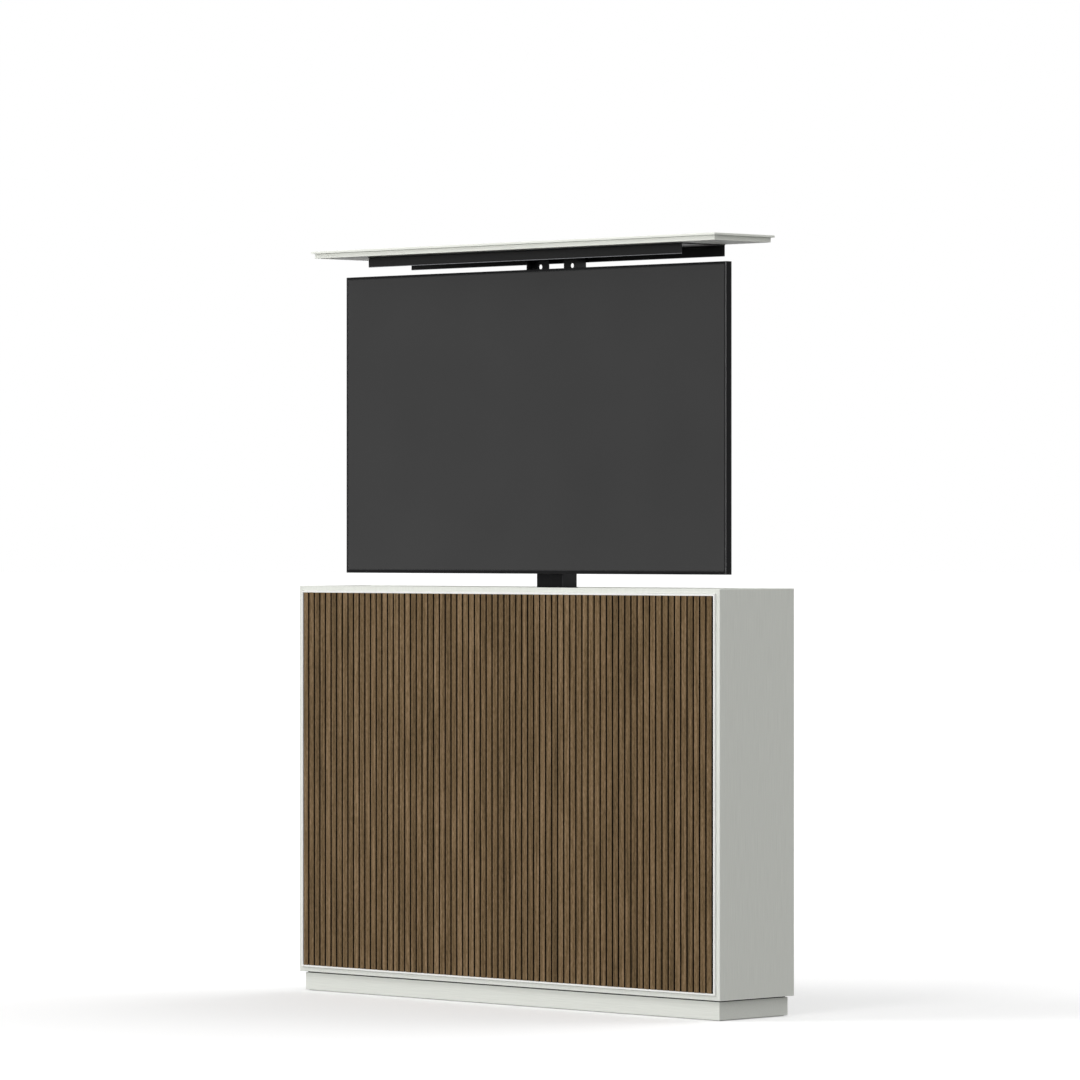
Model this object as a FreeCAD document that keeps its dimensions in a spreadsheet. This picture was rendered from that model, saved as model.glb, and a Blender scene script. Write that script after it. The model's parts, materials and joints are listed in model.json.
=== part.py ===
"""A lift cabinet for a television, with the lift raised.

A shallow lacquered cabinet hides a three-stage telescopic mast. The mast carries
the television and, on two arms above it, the lid that closes the cabinet when the
mast is down. X runs across the cabinet, Y from front to back, Z up from the floor.
The origin is on the floor, in the middle of the overall width and depth.
"""
import FreeCAD, Part
import Sketcher
import os
import re

doc = FreeCAD.newDocument("tv_lift_cabinet")

# ---------------------------------------------------------------------------
# Driving sizes, in millimetres
# ---------------------------------------------------------------------------
SIZES = [
    # carcass
    ("body_width", 1364.0, "outer width of the cabinet"),
    ("body_depth", 242.6, "outer depth of the boards, without the slats"),
    ("body_height", 910.0, "height of the boards above the plinth"),
    ("front_board", 18.0, "thickness of the front board"),
    ("side_board", 18.0, "thickness of the side boards"),
    ("base_board", 18.0, "thickness of the floor board"),
    ("back_board", 12.0, "thickness of the back board"),
    ("back_recess", 6.0, "how far the back board lies in from the rear edges"),
    ("rail_board", 18.0, "thickness of the rails round the top opening"),
    ("front_rail_height", 60.0, "height of the stiffening rail behind the front"),
    ("front_rail_drop", 4.0, "room between that rail and the lowered lid"),
    ("edge_round", 1.5, "rounding of the outer board edges"),
    # plinth and feet
    ("plinth_height", 45.0, "height of the plinth"),
    ("plinth_inset", 10.5, "how far the plinth stands in, all round"),
    ("plinth_board", 16.0, "thickness of the plinth boards"),
    ("foot_pad_radius", 15.0, "radius of a levelling foot's pad"),
    ("foot_pad_height", 6.0, "height of the pad"),
    ("foot_stem_radius", 5.0, "radius of the foot's threaded stem"),
    ("foot_side_gap", 70.0, "side of the cabinet to the outer feet"),
    ("foot_edge_gap", 45.0, "front or back of the boards to the feet"),
    # slatted front
    ("band", 10.3, "plain border round the trim strip"),
    ("strip_width", 5.5, "width of the trim strip"),
    ("strip_proud", 4.7, "how far the trim strip stands out"),
    ("recess", 9.0, "depth of the recess for the slatted panel"),
    ("backing", 4.0, "thickness of the board behind the slats"),
    ("slat_count", 69.0, "number of slats"),
    ("slat_gap", 4.2, "gap between two slats"),
    ("slat_proud", 5.2, "how far the slats stand out"),
    # opening in the top, and the lid
    ("opening_side", 32.5, "side of the cabinet to the opening"),
    ("opening_rear", 40.3, "back of the cabinet to the opening"),
    ("lid_overlap", 5.5, "how far the lid's lip covers the rim"),
    ("lid_lip", 5.0, "thickness of the lid's lip board"),
    ("lid_base", 11.0, "thickness of the lid's lower board"),
    ("lid_round", 1.0, "rounding of the lip's edges"),
    ("lid_clearance", 0.9, "gap between the lower board and the opening"),
    ("lid_seat", 0.5, "gap under the lip when the lift is down"),
    ("carrier_width", 1017.0, "width of the steel carrier under the lid"),
    ("carrier_height", 24.5, "height of the carrier"),
    ("carrier_rear_drop", 2.2, "how much deeper its rear flange is"),
    ("carrier_sheet", 2.5, "sheet thickness of the carrier"),
    ("carrier_front_gap", 41.8, "front of the opening to the carrier"),
    ("carrier_rear_gap", 0.8, "back of the carrier to the opening"),
    # mast
    ("mast_setback", 66.4, "back of the cabinet to the middle of the mast"),
    ("stage_travel", 391.5, "travel of each of the two moving stages"),
    ("stage_step", 4.0, "room above and below a lowered stage"),
    ("stage_gap", 2.6, "gap between two stages, filled by the glides"),
    ("middle_width", 85.2, "width of the middle stage"),
    ("middle_depth", 46.8, "depth of the middle stage"),
    ("outer_wall", 4.0, "wall of the outer stage"),
    ("middle_wall", 3.0, "wall of the middle stage"),
    ("inner_wall", 3.0, "wall of the inner stage"),
    ("column_round", 2.0, "rounding of the mast's long edges"),
    ("glide_height", 40.0, "height of a glide pad"),
    ("glide_clearance", 0.3, "running gap between a glide and its stage"),
    ("glide_share", 0.6, "part of the column face that a glide covers"),
    # drive
    ("base_plate", 5.0, "thickness of the steel plate under the mast"),
    ("plate_border", 15.0, "how far that plate stands out past the gearbox"),
    ("gearbox_height", 38.0, "height of the gearbox"),
    ("gearbox_depth", 64.0, "depth of the gearbox"),
    ("gearbox_left", 55.0, "middle of the mast to the gearbox's left end"),
    ("gearbox_right", 130.0, "middle of the mast to its right end"),
    ("motor_offset", 95.0, "middle of the mast to the motor's axis"),
    ("motor_radius", 26.0, "radius of the motor"),
    ("motor_height", 130.0, "height of the motor"),
    ("motor_cap_radius", 22.0, "radius of the motor's end cap"),
    ("motor_cap_height", 10.0, "height of the end cap"),
    ("bearing_radius", 15.9, "outer radius of the spindle bearings"),
    ("bearing_height", 12.0, "height of a spindle bearing"),
    ("bearing_fit", 0.1, "gap between a bearing and its seat"),
    ("lower_spindle_radius", 7.0, "radius of the lower spindle"),
    ("upper_spindle_radius", 11.0, "radius of the upper, hollow spindle"),
    ("spindle_clearance", 0.4, "gap round a spindle in a nut or bearing"),
    ("spindle_foot", 8.0, "length of spindle under the lower bearing"),
    ("spindle_overlap", 60.0, "lower spindle left in the upper one, raised"),
    ("spindle_overrun", 8.0, "upper spindle above its nut, raised"),
    ("lower_nut_height", 20.0, "height of the nut block of the middle stage"),
    ("upper_nut_height", 24.0, "height of the nut block of the inner stage"),
    ("nut_step", 2.0, "room between the bearing and the nut above it"),
    # brackets that hold the mast to the back board
    ("tie_height", 40.0, "height of a wall bracket"),
    ("tie_half_width", 85.0, "half the width of its flange"),
    ("tie_flange", 3.0, "thickness of its flange"),
    ("tie_upper_drop", 66.0, "top of the outer stage to the upper bracket"),
    ("tie_lower_rise", 214.0, "foot of the outer stage to the lower bracket"),
    ("tie_screw_offset", 68.0, "middle of the bracket to its screws"),
    ("tie_screw_rise", 12.0, "screw above or below the bracket's middle"),
    # television
    ("tv_width", 1233.0, "width of the television"),
    ("tv_height", 698.0, "height of the television"),
    ("tv_edge", 18.7, "thickness of its edge"),
    ("tv_back_sheet", 2.0, "thickness of its rear cover"),
    ("tv_round", 1.5, "rounding of the frame's front edges"),
    ("bezel_side", 6.0, "frame beside and above the screen"),
    ("bezel_bottom", 8.0, "frame below the screen"),
    ("screen_recess", 0.8, "screen behind the face of the frame"),
    ("screen_thick", 3.0, "thickness of the screen panel"),
    ("screen_fit", 0.3, "gap round the screen in its frame"),
    ("housing_width", 860.0, "width of the housing on the television's back"),
    ("housing_height", 470.0, "height of that housing"),
    ("housing_depth", 14.8, "depth of that housing"),
    ("housing_rise", 30.0, "foot of the television to the housing"),
    ("housing_chamfer", 6.0, "chamfer of the housing's rear edges"),
    ("tv_lid_gap", 19.4, "top of the television to the carrier"),
    # mount between the television and the mast
    ("mount_width", 400.0, "spacing of the mounting holes across"),
    ("mount_height", 200.0, "spacing of the mounting holes up"),
    ("bracket_width", 30.0, "width of an upright bracket"),
    ("bracket_depth", 5.5, "depth of an upright bracket"),
    ("bracket_length", 300.0, "length of an upright bracket"),
    ("rail_length", 460.0, "length of a cross rail"),
    ("rail_depth", 12.0, "depth of a cross rail"),
    ("rail_height", 30.0, "height of a cross rail"),
    ("rail_wall", 2.0, "wall of a cross rail"),
    ("rail_rise", 60.0, "cross rail above or below the screen's middle"),
    ("hanger_thick", 4.0, "thickness of the hanger plate"),
    ("hanger_half_width", 80.0, "half the width of the hanger plate"),
    ("hanger_clearance", 1.4, "gap between the hanger and the outer stage"),
    ("hanger_tail", 95.0, "hanger plate below the screen's middle"),
    ("head_plate", 6.0, "thickness of the plate on the inner stage"),
    ("head_half_width", 82.0, "half the width of that plate"),
    ("arm_height", 62.0, "height of a lid arm"),
    ("arm_inner", 24.7, "middle of the mast to an arm's inner edge"),
    ("arm_outer", 78.0, "middle of the mast to an arm's outer edge"),
    ("arm_sheet", 2.5, "sheet thickness of an arm"),
    ("arm_front", 21.0, "middle of the mast to an arm's front edge"),
    ("arm_back", 17.0, "middle of the mast to an arm's rear edge"),
    ("arm_face", 2.1, "middle of the mast to the arm's front sheet"),
    ("arm_hole_radius", 5.8, "radius of the hole in an arm's front sheet"),
    ("arm_hole_drop", 31.3, "top of an arm to the middle of its hole"),
    # screws
    ("tv_screw_radius", 3.0, "shank radius of the television's screws"),
    ("tv_screw_head", 5.5, "head radius of these screws"),
    ("tv_screw_grip", 10.0, "how far they reach into the housing"),
    ("small_screw_radius", 2.0, "shank radius of the other screws"),
    ("small_screw_head", 4.0, "head radius of the other screws"),
    ("head_height", 2.4, "height of a screw's head"),
    ("screw_fit", 0.2, "gap round a shank in its hole"),
    ("screw_bite", 8.0, "how far a small screw reaches into what it holds"),
    # fittings in the back board
    ("hatch_inset", 184.0, "left side board to the service opening"),
    ("hatch_width", 360.0, "width of the service opening"),
    ("hatch_rise", 55.0, "cabinet floor to the service opening"),
    ("hatch_height", 180.0, "height of the service opening"),
    ("hatch_lap", 20.0, "how far the service cover laps over the board"),
    ("hatch_sheet", 3.0, "thickness of the service cover"),
    ("vent_inset", 244.0, "right side board to the vent"),
    ("vent_width", 240.0, "width of the vent"),
    ("vent_height", 60.0, "height of the vent"),
    ("vent_flange", 8.0, "how far the grille laps over the board"),
    ("vent_slot", 6.0, "width of a slot in the grille"),
    ("vent_count", 16.0, "number of slots"),
    ("outlet_inset", 184.0, "right side board to the axis of the cable outlet"),
    ("outlet_radius", 30.0, "radius of the hole for the cable outlet"),
    ("outlet_wall", 3.0, "wall of the outlet's sleeve"),
    ("inlet_inset", 94.0, "right side board to the axis of the power inlet"),
    ("inlet_width", 48.0, "width of the inlet's body"),
    ("inlet_height", 28.0, "height of the inlet's body"),
    ("inlet_depth", 26.0, "depth of the inlet's body"),
    ("inlet_socket_width", 25.0, "width of the inlet's socket"),
    ("inlet_socket_height", 17.0, "height of the inlet's socket"),
    ("inlet_socket_depth", 18.0, "depth of the inlet's socket"),
    ("inlet_pin", 2.0, "thickness of an inlet pin"),
    ("inlet_pin_length", 11.0, "length of an inlet pin"),
    ("fitting_flange", 4.0, "how far inlet and outlet lap over the board"),
    ("flange_thick", 2.5, "thickness of the flanges on the back board"),
    ("fitting_rise", 95.0, "cabinet floor to vent, outlet and inlet"),
    ("wall_hole_inset", 164.0, "side board to a hole for fixing to a wall"),
    ("wall_hole_drop", 95.0, "top of the cabinet to these holes"),
    ("wall_hole_radius", 3.0, "radius of these holes"),
    # control box
    ("control_width", 180.0, "width of the control box"),
    ("control_depth", 55.0, "depth of the control box"),
    ("control_height", 38.0, "height of the control box"),
    ("control_lid", 3.0, "thickness of its cover"),
    ("control_wall", 2.5, "wall of the control box"),
    ("control_inset", 150.0, "edge of the service opening to the control box"),
    ("control_gap", 10.0, "back board to the control box"),
]

sheet = doc.addObject("Spreadsheet::Sheet", "Sizes")
for row, (name, size, meaning) in enumerate(SIZES, 1):
    sheet.set(f"A{row}", name)
    sheet.set(f"B{row}", str(size))
    sheet.set(f"C{row}", meaning)
    sheet.setAlias(f"B{row}", name)
doc.recompute()

# ---------------------------------------------------------------------------
# Places worked out from the sizes
# ---------------------------------------------------------------------------
PLACES = [
    ("half_width", "body_width / 2"),
    ("front_y", "(slat_proud - body_depth) / 2"),
    ("back_y", "front_y + body_depth"),
    ("top_z", "plinth_height + body_height"),
    ("floor_z", "plinth_height + base_board"),
    ("inside_half", "half_width - side_board"),
    ("inside_front_y", "front_y + front_board"),
    ("inside_back_y", "back_y - back_recess - back_board"),
    ("opening_half", "half_width - opening_side"),
    ("opening_back_y", "back_y - opening_rear"),
    # slatted field
    ("field_half", "half_width - band - strip_width"),
    ("field_low_z", "plinth_height + band + strip_width"),
    ("field_high_z", "top_z - band - strip_width"),
    ("slat_width", "(2 * field_half - (slat_count + 1) * slat_gap) / slat_count"),
    ("backing_y", "front_y + recess - backing"),
    # heights of what the raised lift carries, from the lid down
    ("lid_z", "top_z + lid_seat + 2 * stage_travel"),
    ("carrier_top_z", "lid_z - lid_base"),
    ("carrier_under_z", "carrier_top_z - carrier_sheet"),
    ("carrier_z", "carrier_top_z - carrier_height"),
    ("tv_top_z", "carrier_z - tv_lid_gap"),
    ("tv_z", "tv_top_z - tv_height"),
    ("screen_z", "tv_z + tv_height / 2"),
    ("head_top_z", "carrier_under_z - arm_height"),
    ("inner_top_z", "head_top_z - head_plate"),
    ("middle_top_z", "inner_top_z - stage_travel - stage_step"),
    ("outer_top_z", "middle_top_z - stage_travel - stage_step"),
    # feet of the stages
    ("gearbox_z", "floor_z + base_plate"),
    ("outer_z", "gearbox_z + gearbox_height"),
    ("middle_z", "outer_z + stage_step + stage_travel"),
    ("inner_z", "middle_z + lower_nut_height + bearing_height + nut_step + stage_travel"),
    # the mast, seen from above
    ("mast_y", "back_y - mast_setback"),
    ("middle_half_x", "middle_width / 2"),
    ("middle_half_y", "middle_depth / 2"),
    ("outer_half_x", "middle_half_x + stage_gap + outer_wall"),
    ("outer_half_y", "middle_half_y + stage_gap + outer_wall"),
    ("inner_half_x", "middle_half_x - middle_wall - stage_gap"),
    ("inner_half_y", "middle_half_y - middle_wall - stage_gap"),
    # from the mast forward to the screen
    ("hanger_back_y", "mast_y - outer_half_y - hanger_clearance"),
    ("hanger_front_y", "hanger_back_y - hanger_thick"),
    ("rail_front_y", "hanger_front_y - rail_depth"),
    ("housing_back_y", "rail_front_y - bracket_depth"),
    ("tv_back_y", "housing_back_y - housing_depth"),
    ("tv_front_y", "tv_back_y - tv_edge"),
    ("screen_half", "tv_width / 2 - bezel_side"),
    # fittings in the back board
    ("hatch_left_x", "hatch_inset - inside_half"),
    ("hatch_right_x", "hatch_left_x + hatch_width"),
    ("hatch_z", "floor_z + hatch_rise"),
    ("vent_right_x", "inside_half - vent_inset"),
    ("vent_left_x", "vent_right_x - vent_width"),
    ("outlet_x", "inside_half - outlet_inset"),
    ("inlet_x", "inside_half - inlet_inset"),
    ("control_x", "hatch_left_x + control_inset"),
    ("fitting_z", "floor_z + fitting_rise"),
    ("panel_back_y", "back_y - back_recess"),
    ("upper_tie_z", "outer_top_z - tie_upper_drop"),
    ("lower_tie_z", "outer_z + tie_lower_rise"),
    ("wall_hole_z", "top_z - wall_hole_drop"),
]
OWNER = {name: "Sizes" for name, _, _ in SIZES}


def full(expression):
    """The expression with every name led by the object that holds it."""
    def lead(word):
        name = word.group()
        return f"{OWNER[name]}.{name}"
    return re.sub(r"[a-z][a-z_]*", lead, str(expression))


places = doc.addObject("App::VarSet", "Places")
for name, expression in PLACES:
    places.addProperty("App::PropertyFloat", name, "Places")
    places.setExpression(name, full(expression))
    OWNER[name] = "Places"
doc.recompute()


def value(expression):
    """The present value of an expression, in millimetres."""
    return float(sheet.evalExpression(full(expression)))


def bind(feature, target, expression):
    """Let one property of a feature follow an expression."""
    feature.setExpression(target, full(expression))


# ---------------------------------------------------------------------------
# Part primitives and booleans
# ---------------------------------------------------------------------------
DIRECTIONS = {
    "+y": FreeCAD.Vector(0, 1, 0),
    "-y": FreeCAD.Vector(0, -1, 0),
    "+z": FreeCAD.Vector(0, 0, 1),
}


def block(name, x, y, z):
    """A box between a low and a high expression along each axis."""
    box = doc.addObject("Part::Box", name)
    for side, axis, (low, high) in zip(("Length", "Width", "Height"), "xyz", (x, y, z)):
        bind(box, side, f"({high}) - ({low})")
        bind(box, f"Placement.Base.{axis}", low)
    return box


def rod(name, foot, radius, length, along="+z"):
    """A cylinder that starts at the point foot and runs in one direction."""
    cylinder = doc.addObject("Part::Cylinder", name)
    turn = FreeCAD.Rotation(DIRECTIONS["+z"], DIRECTIONS[along])
    cylinder.Placement = FreeCAD.Placement(FreeCAD.Vector(), turn)
    bind(cylinder, "Radius", radius)
    bind(cylinder, "Height", length)
    for axis, place in zip("xyz", foot):
        bind(cylinder, f"Placement.Base.{axis}", place)
    return cylinder


def group(name, pieces):
    """Several separate solids as one object."""
    compound = doc.addObject("Part::Compound", name)
    compound.Links = pieces
    return compound


def cut(name, base, *tools):
    """A solid with one or more tools taken away."""
    result = doc.addObject("Part::Cut", name)
    result.Base = base
    result.Tool = tools[0] if len(tools) == 1 else group(name + "_tools", list(tools))
    return result


def fuse(name, *pieces):
    """Several touching solids made one."""
    result = doc.addObject("Part::MultiFuse", name)
    result.Shapes = list(pieces)
    result.Refine = True
    return result


def rounded(name, base, radius, wanted, kind="Part::Fillet"):
    """A solid with a fillet or chamfer on the edges that wanted picks."""
    doc.recompute()
    size = value(radius)
    result = doc.addObject(kind, name)
    result.Base = base
    result.Edges = [(number, size, size)
                    for number, edge in enumerate(base.Shape.Edges, 1) if wanted(edge)]
    return result


def both(half):
    """The two ends of something centred on the cabinet."""
    return (f"-({half})", half)


def about(middle, half):
    """The two ends of something centred on a place."""
    return (f"{middle} - ({half})", f"{middle} + ({half})")


def flipped(pair, side):
    """A pair of places on the right, or its mirror image on the left."""
    low, high = pair
    return pair if side == "right" else (f"-({high})", f"-({low})")


def screw(name, seat, along, head, shank, length):
    """A pan-head screw: its head sits on the point seat, its shank runs along."""
    step = DIRECTIONS[along]
    start = [f"({place}) - ({part}) * head_height" for place, part in zip(seat, step)]
    return fuse(name,
                rod(name + "_head", start, head, "head_height", along),
                rod(name + "_shank", seat, shank, length, along))


def screw_set(label, seats, along, head, shank, length):
    """Identical screws, one at each seat."""
    return group(label, [screw(f"{label}_{number}", seat, along, head, shank, length)
                         for number, seat in enumerate(seats, 1)])


def screw_holes(label, seats, along, shank, length):
    """Clearance holes for a screw set."""
    return [rod(f"{label}_hole_{number}", seat, f"{shank} + screw_fit", length, along)
            for number, seat in enumerate(seats, 1)]


# ---------------------------------------------------------------------------
# PartDesign boards: a padded rectangle with pockets and round holes
# ---------------------------------------------------------------------------
# Which sketch plane a board uses, the two axes of its sketch, and whether the pad
# and the pockets have to be turned round to grow into the board.
BOARD_PLANES = {
    "XY_Plane": ("x", "y", False, True),
    "XZ_Plane": ("x", "z", True, False),
}


def new_sketch(body, name, plane):
    """An empty sketch on one origin plane of its own body."""
    sketch = body.newObject("Sketcher::SketchObject", name)
    origin_plane = next(item for item in body.Origin.OriginFeatures if item.Role == plane)
    sketch.AttachmentSupport = [(origin_plane, "")]
    sketch.MapMode = "FlatFace"
    return sketch


def constrain(sketch, kind, *geometry, follows):
    """A dimension of the sketch that follows an expression."""
    size = value(follows)
    number = sketch.addConstraint(Sketcher.Constraint(kind, *geometry, size))
    name = f"size_{number}"
    sketch.renameConstraint(number, name)
    bind(sketch, f"Constraints.{name}", follows)


def draw_rectangle(sketch, left, low, width, height):
    """A rectangle placed from the sketch's origin; left or low may be None for 0."""
    x, z = value(left or 0), value(low or 0)
    across, up = value(width), value(height)
    corners = [(x, z), (x + across, z), (x + across, z + up), (x, z + up)]
    points = [FreeCAD.Vector(a, b, 0) for a, b in corners]
    first = sketch.GeometryCount
    for number in range(4):
        line = Part.LineSegment(points[number], points[(number + 1) % 4])
        sketch.addGeometry(line, False)
    for number in range(4):
        here, there = first + number, first + (number + 1) % 4
        sketch.addConstraint(Sketcher.Constraint("Coincident", here, 2, there, 1))
        sketch.addConstraint(Sketcher.Constraint("Vertical" if number % 2 else "Horizontal", here))
    if left is None:
        sketch.addConstraint(Sketcher.Constraint("Coincident", first, 1, -1, 1))
    else:
        constrain(sketch, "DistanceX", -1, 1, first, 1, follows=left)
        constrain(sketch, "DistanceY", -1, 1, first, 1, follows=low)
    constrain(sketch, "DistanceX", first, 1, first, 2, follows=width)
    constrain(sketch, "DistanceY", first + 1, 1, first + 1, 2, follows=height)


def draw_circle(sketch, across, up, radius):
    """A circle placed from the sketch's origin."""
    centre = FreeCAD.Vector(value(across), value(up), 0)
    circle = Part.Circle(centre, FreeCAD.Vector(0, 0, 1), value(radius))
    number = sketch.addGeometry(circle, False)
    constrain(sketch, "DistanceX", -1, 1, number, 3, follows=across)
    constrain(sketch, "DistanceY", -1, 1, number, 3, follows=up)
    constrain(sketch, "Radius", number, follows=radius)


def board(label, plane, x, y, z, pockets=(), holes=(), blind_holes=(), blind_depth=None):
    """A board between low and high places, with pockets and round holes.

    A pocket is two pairs of places and a depth from the sketched face, or None to go
    through. A hole is two places and a radius. Blind holes start at the sketched face,
    and the others go through.
    """
    ends = {"x": x, "y": y, "z": z}
    across, up, pad_turned, pocket_turned = BOARD_PLANES[plane]
    through = next(axis for axis in "xyz" if axis not in (across, up))
    body = doc.addObject("PartDesign::Body", label)
    for axis, (low, _) in ends.items():
        bind(body, f"Placement.Base.{axis}", low)

    def local(axis, place):
        return f"({place}) - ({ends[axis][0]})"

    outline = new_sketch(body, label + "_outline", plane)
    draw_rectangle(outline, None, None, local(across, ends[across][1]), local(up, ends[up][1]))
    pad = body.newObject("PartDesign::Pad", label + "_pad")
    pad.Profile = outline
    pad.Reversed = pad_turned
    bind(pad, "Length", local(through, ends[through][1]))
    doc.recompute()

    for number, (wide, high, depth) in enumerate(pockets, 1):
        sketch = new_sketch(body, f"{label}_pocket_outline_{number}", plane)
        draw_rectangle(sketch, local(across, wide[0]), local(up, high[0]),
                       f"({wide[1]}) - ({wide[0]})", f"({high[1]}) - ({high[0]})")
        add_pocket(body, f"{label}_pocket_{number}", sketch, pocket_turned, depth)
    drillings = {"holes": (holes, None), "blind_holes": (blind_holes, blind_depth)}
    for kind, (circles, depth) in drillings.items():
        if not circles:
            continue
        sketch = new_sketch(body, f"{label}_{kind}_outline", plane)
        for centre_across, centre_up, radius in circles:
            draw_circle(sketch, local(across, centre_across), local(up, centre_up), radius)
        add_pocket(body, f"{label}_{kind}", sketch, pocket_turned, depth)
    return body


def add_pocket(body, name, sketch, turned, depth):
    """A pocket into the body, which has to take some of its volume away."""
    before = body.Shape.Volume
    pocket = body.newObject("PartDesign::Pocket", name)
    pocket.Profile = sketch
    pocket.Reversed = turned
    if depth is None:
        pocket.Type = "ThroughAll"
    else:
        bind(pocket, "Length", depth)
    doc.recompute()
    if body.Shape.Volume >= before:
        raise RuntimeError(f"{name} cuts nothing")


def ease(body, radius, wanted):
    """Round the edges of a PartDesign body that wanted picks."""
    last = body.Tip
    names = [f"Edge{number}" for number, edge in enumerate(last.Shape.Edges, 1) if wanted(edge)]
    fillet = body.newObject("PartDesign::Fillet", body.Label + "_ease")
    fillet.Base = (last, names)
    bind(fillet, "Radius", radius)
    body.Tip = fillet


def runs_along(edge, axis):
    """Whether a straight edge is parallel to an axis."""
    first, last = (vertex.Point for vertex in edge.Vertexes[:2])
    return (last - first).normalize().isEqual(DIRECTIONS[axis], 1e-6) or (
        first - last).normalize().isEqual(DIRECTIONS[axis], 1e-6)


def lies_at(edge, box, *faces):
    """Whether an edge lies on every named face of a bounding box."""
    near = 1e-4
    bounds = edge.BoundBox
    return all(abs(getattr(bounds, low) - getattr(box, face)) < near
               and abs(getattr(bounds, high) - getattr(box, face)) < near
               for face in faces
               for low, high in [(face[0] + "Min", face[0] + "Max")])


nodes = []


def node(label, shape):
    """Name one sub-part and keep it for writing."""
    shape.Label = label
    nodes.append(shape)
    return shape


# ---------------------------------------------------------------------------
# Carcass
# ---------------------------------------------------------------------------
tie_seats = [(f"{side} * tie_screw_offset", "inside_back_y - tie_flange",
              f"{middle} + {rise} * tie_screw_rise")
             for middle in ("upper_tie_z", "lower_tie_z")
             for side in (-1, 1) for rise in (-1, 1)]
hatch_screw_x = ["hatch_left_x - hatch_lap / 2", "(hatch_left_x + hatch_right_x) / 2",
                 "hatch_right_x + hatch_lap / 2"]
hatch_seats = [(across, "panel_back_y + hatch_sheet", up)
               for across in hatch_screw_x
               for up in ("hatch_z - hatch_lap / 2", "hatch_z + hatch_height + hatch_lap / 2")]
hatch_opening = (("hatch_left_x", "hatch_right_x"), ("hatch_z", "hatch_z + hatch_height"))
vent_opening = (("vent_left_x", "vent_right_x"), about("fitting_z", "vent_height / 2"))
inlet_opening = (about("inlet_x", "inlet_width / 2"), about("fitting_z", "inlet_height / 2"))
hole_radius = "small_screw_radius + screw_fit"


def front_panel():
    """The front board, with a shallow recess that takes the slatted panel."""
    frame = ("band - half_width", "half_width - band")
    rows = ("plinth_height + band", "top_z - band")
    body = board("front_panel", "XZ_Plane", both("half_width"),
                 ("front_y", "inside_front_y"), ("plinth_height", "top_z"),
                 pockets=[(frame, rows, "recess")])
    box = body.Tip.Shape.BoundBox
    sides = ("XMin", "XMax", "ZMin", "ZMax")
    ease(body, "edge_round", lambda edge: any(
        lies_at(edge, box, "YMin", side) for side in sides) or any(
        lies_at(edge, box, "ZMax", side) for side in ("XMin", "XMax")))
    return body


def side_panel(side):
    """A side board with rounded rear and upper edges."""
    outer = "XMax" if side == "right" else "XMin"
    blank = block(f"side_blank_{side}", flipped(("inside_half", "half_width"), side),
                  ("inside_front_y", "back_y"), ("plinth_height", "top_z"))
    doc.recompute()
    box = blank.Shape.BoundBox
    return rounded(f"side_panel_{side}", blank, "edge_round", lambda edge: any(
        lies_at(edge, box, outer, face) for face in ("YMax", "ZMax")))


def slats():
    """Upright slats with equal gaps, also beside the trim strips."""
    pieces = []
    for number in range(int(value("slat_count"))):
        left = f"slat_gap - field_half + {number} * (slat_width + slat_gap)"
        pieces.append(block(f"slat_{number + 1}", (left, f"{left} + slat_width"),
                            ("front_y - slat_proud", "backing_y"),
                            ("field_low_z", "field_high_z")))
    return group("slats", pieces)


def trim_strips():
    """Four thin strips that frame the slatted field."""
    depth = ("front_y - strip_proud", "front_y + recess")
    rows = [("field_low_z - strip_width", "field_low_z"),
            ("field_high_z", "field_high_z + strip_width")]
    pieces = [block(f"strip_{side}", flipped(("field_half", "field_half + strip_width"), side),
                    depth, (rows[0][0], rows[1][1])) for side in ("left", "right")]
    pieces += [block(f"strip_row_{number}", both("field_half"), depth, row)
               for number, row in enumerate(rows, 1)]
    return group("strips", pieces)


def back_panel():
    """The back board with its openings, screw holes and wall fixing holes."""
    holes = [(across, up, hole_radius) for across, _, up in hatch_seats]
    holes += [(f"{side} * (inside_half - wall_hole_inset)", "wall_hole_z", "wall_hole_radius")
              for side in (-1, 1)]
    holes.append(("outlet_x", "fitting_z", "outlet_radius"))
    blind_holes = [(across, up, hole_radius) for across, _, up in tie_seats]
    return board("back_panel", "XZ_Plane", both("inside_half"),
                 ("inside_back_y", "panel_back_y"), ("plinth_height", "top_z - rail_board"),
                 pockets=[(*hatch_opening, None), (*vent_opening, None),
                          (*inlet_opening, None)], holes=holes,
                 blind_holes=blind_holes, blind_depth="screw_bite + screw_fit")


node("front_panel", front_panel())
node("slat_backing_board", block("backing_board", both("field_half"),
                                 ("backing_y", "front_y + recess"),
                                 ("field_low_z", "field_high_z")))
node("front_slats", slats())
node("front_trim_strips", trim_strips())
for side in ("left", "right"):
    node(f"side_panel_{side}", side_panel(side))
node("bottom_panel", block("floor_board", both("inside_half"),
                           ("inside_front_y", "inside_back_y"), ("plinth_height", "floor_z")))
node("back_panel", back_panel())

# The rails round the opening: three lie flush with the top. The fourth stands on edge,
# glued to the back of the front board between the side rails, below the lowered lid.
rail_rows = ("top_z - rail_board", "top_z")
front_rail_top = "top_z + lid_seat - lid_base - front_rail_drop"
node("top_rail_front", block("front_rail", both("opening_half"),
                             ("inside_front_y", "inside_front_y + rail_board"),
                             (f"{front_rail_top} - front_rail_height", front_rail_top)))
node("top_rail_rear", block("rear_rail", both("inside_half"),
                            ("opening_back_y", "back_y"), rail_rows))
for side in ("left", "right"):
    node(f"top_rail_{side}", block(f"rail_{side}", flipped(("opening_half", "inside_half"), side),
                                   ("inside_front_y", "opening_back_y"), rail_rows))

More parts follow.
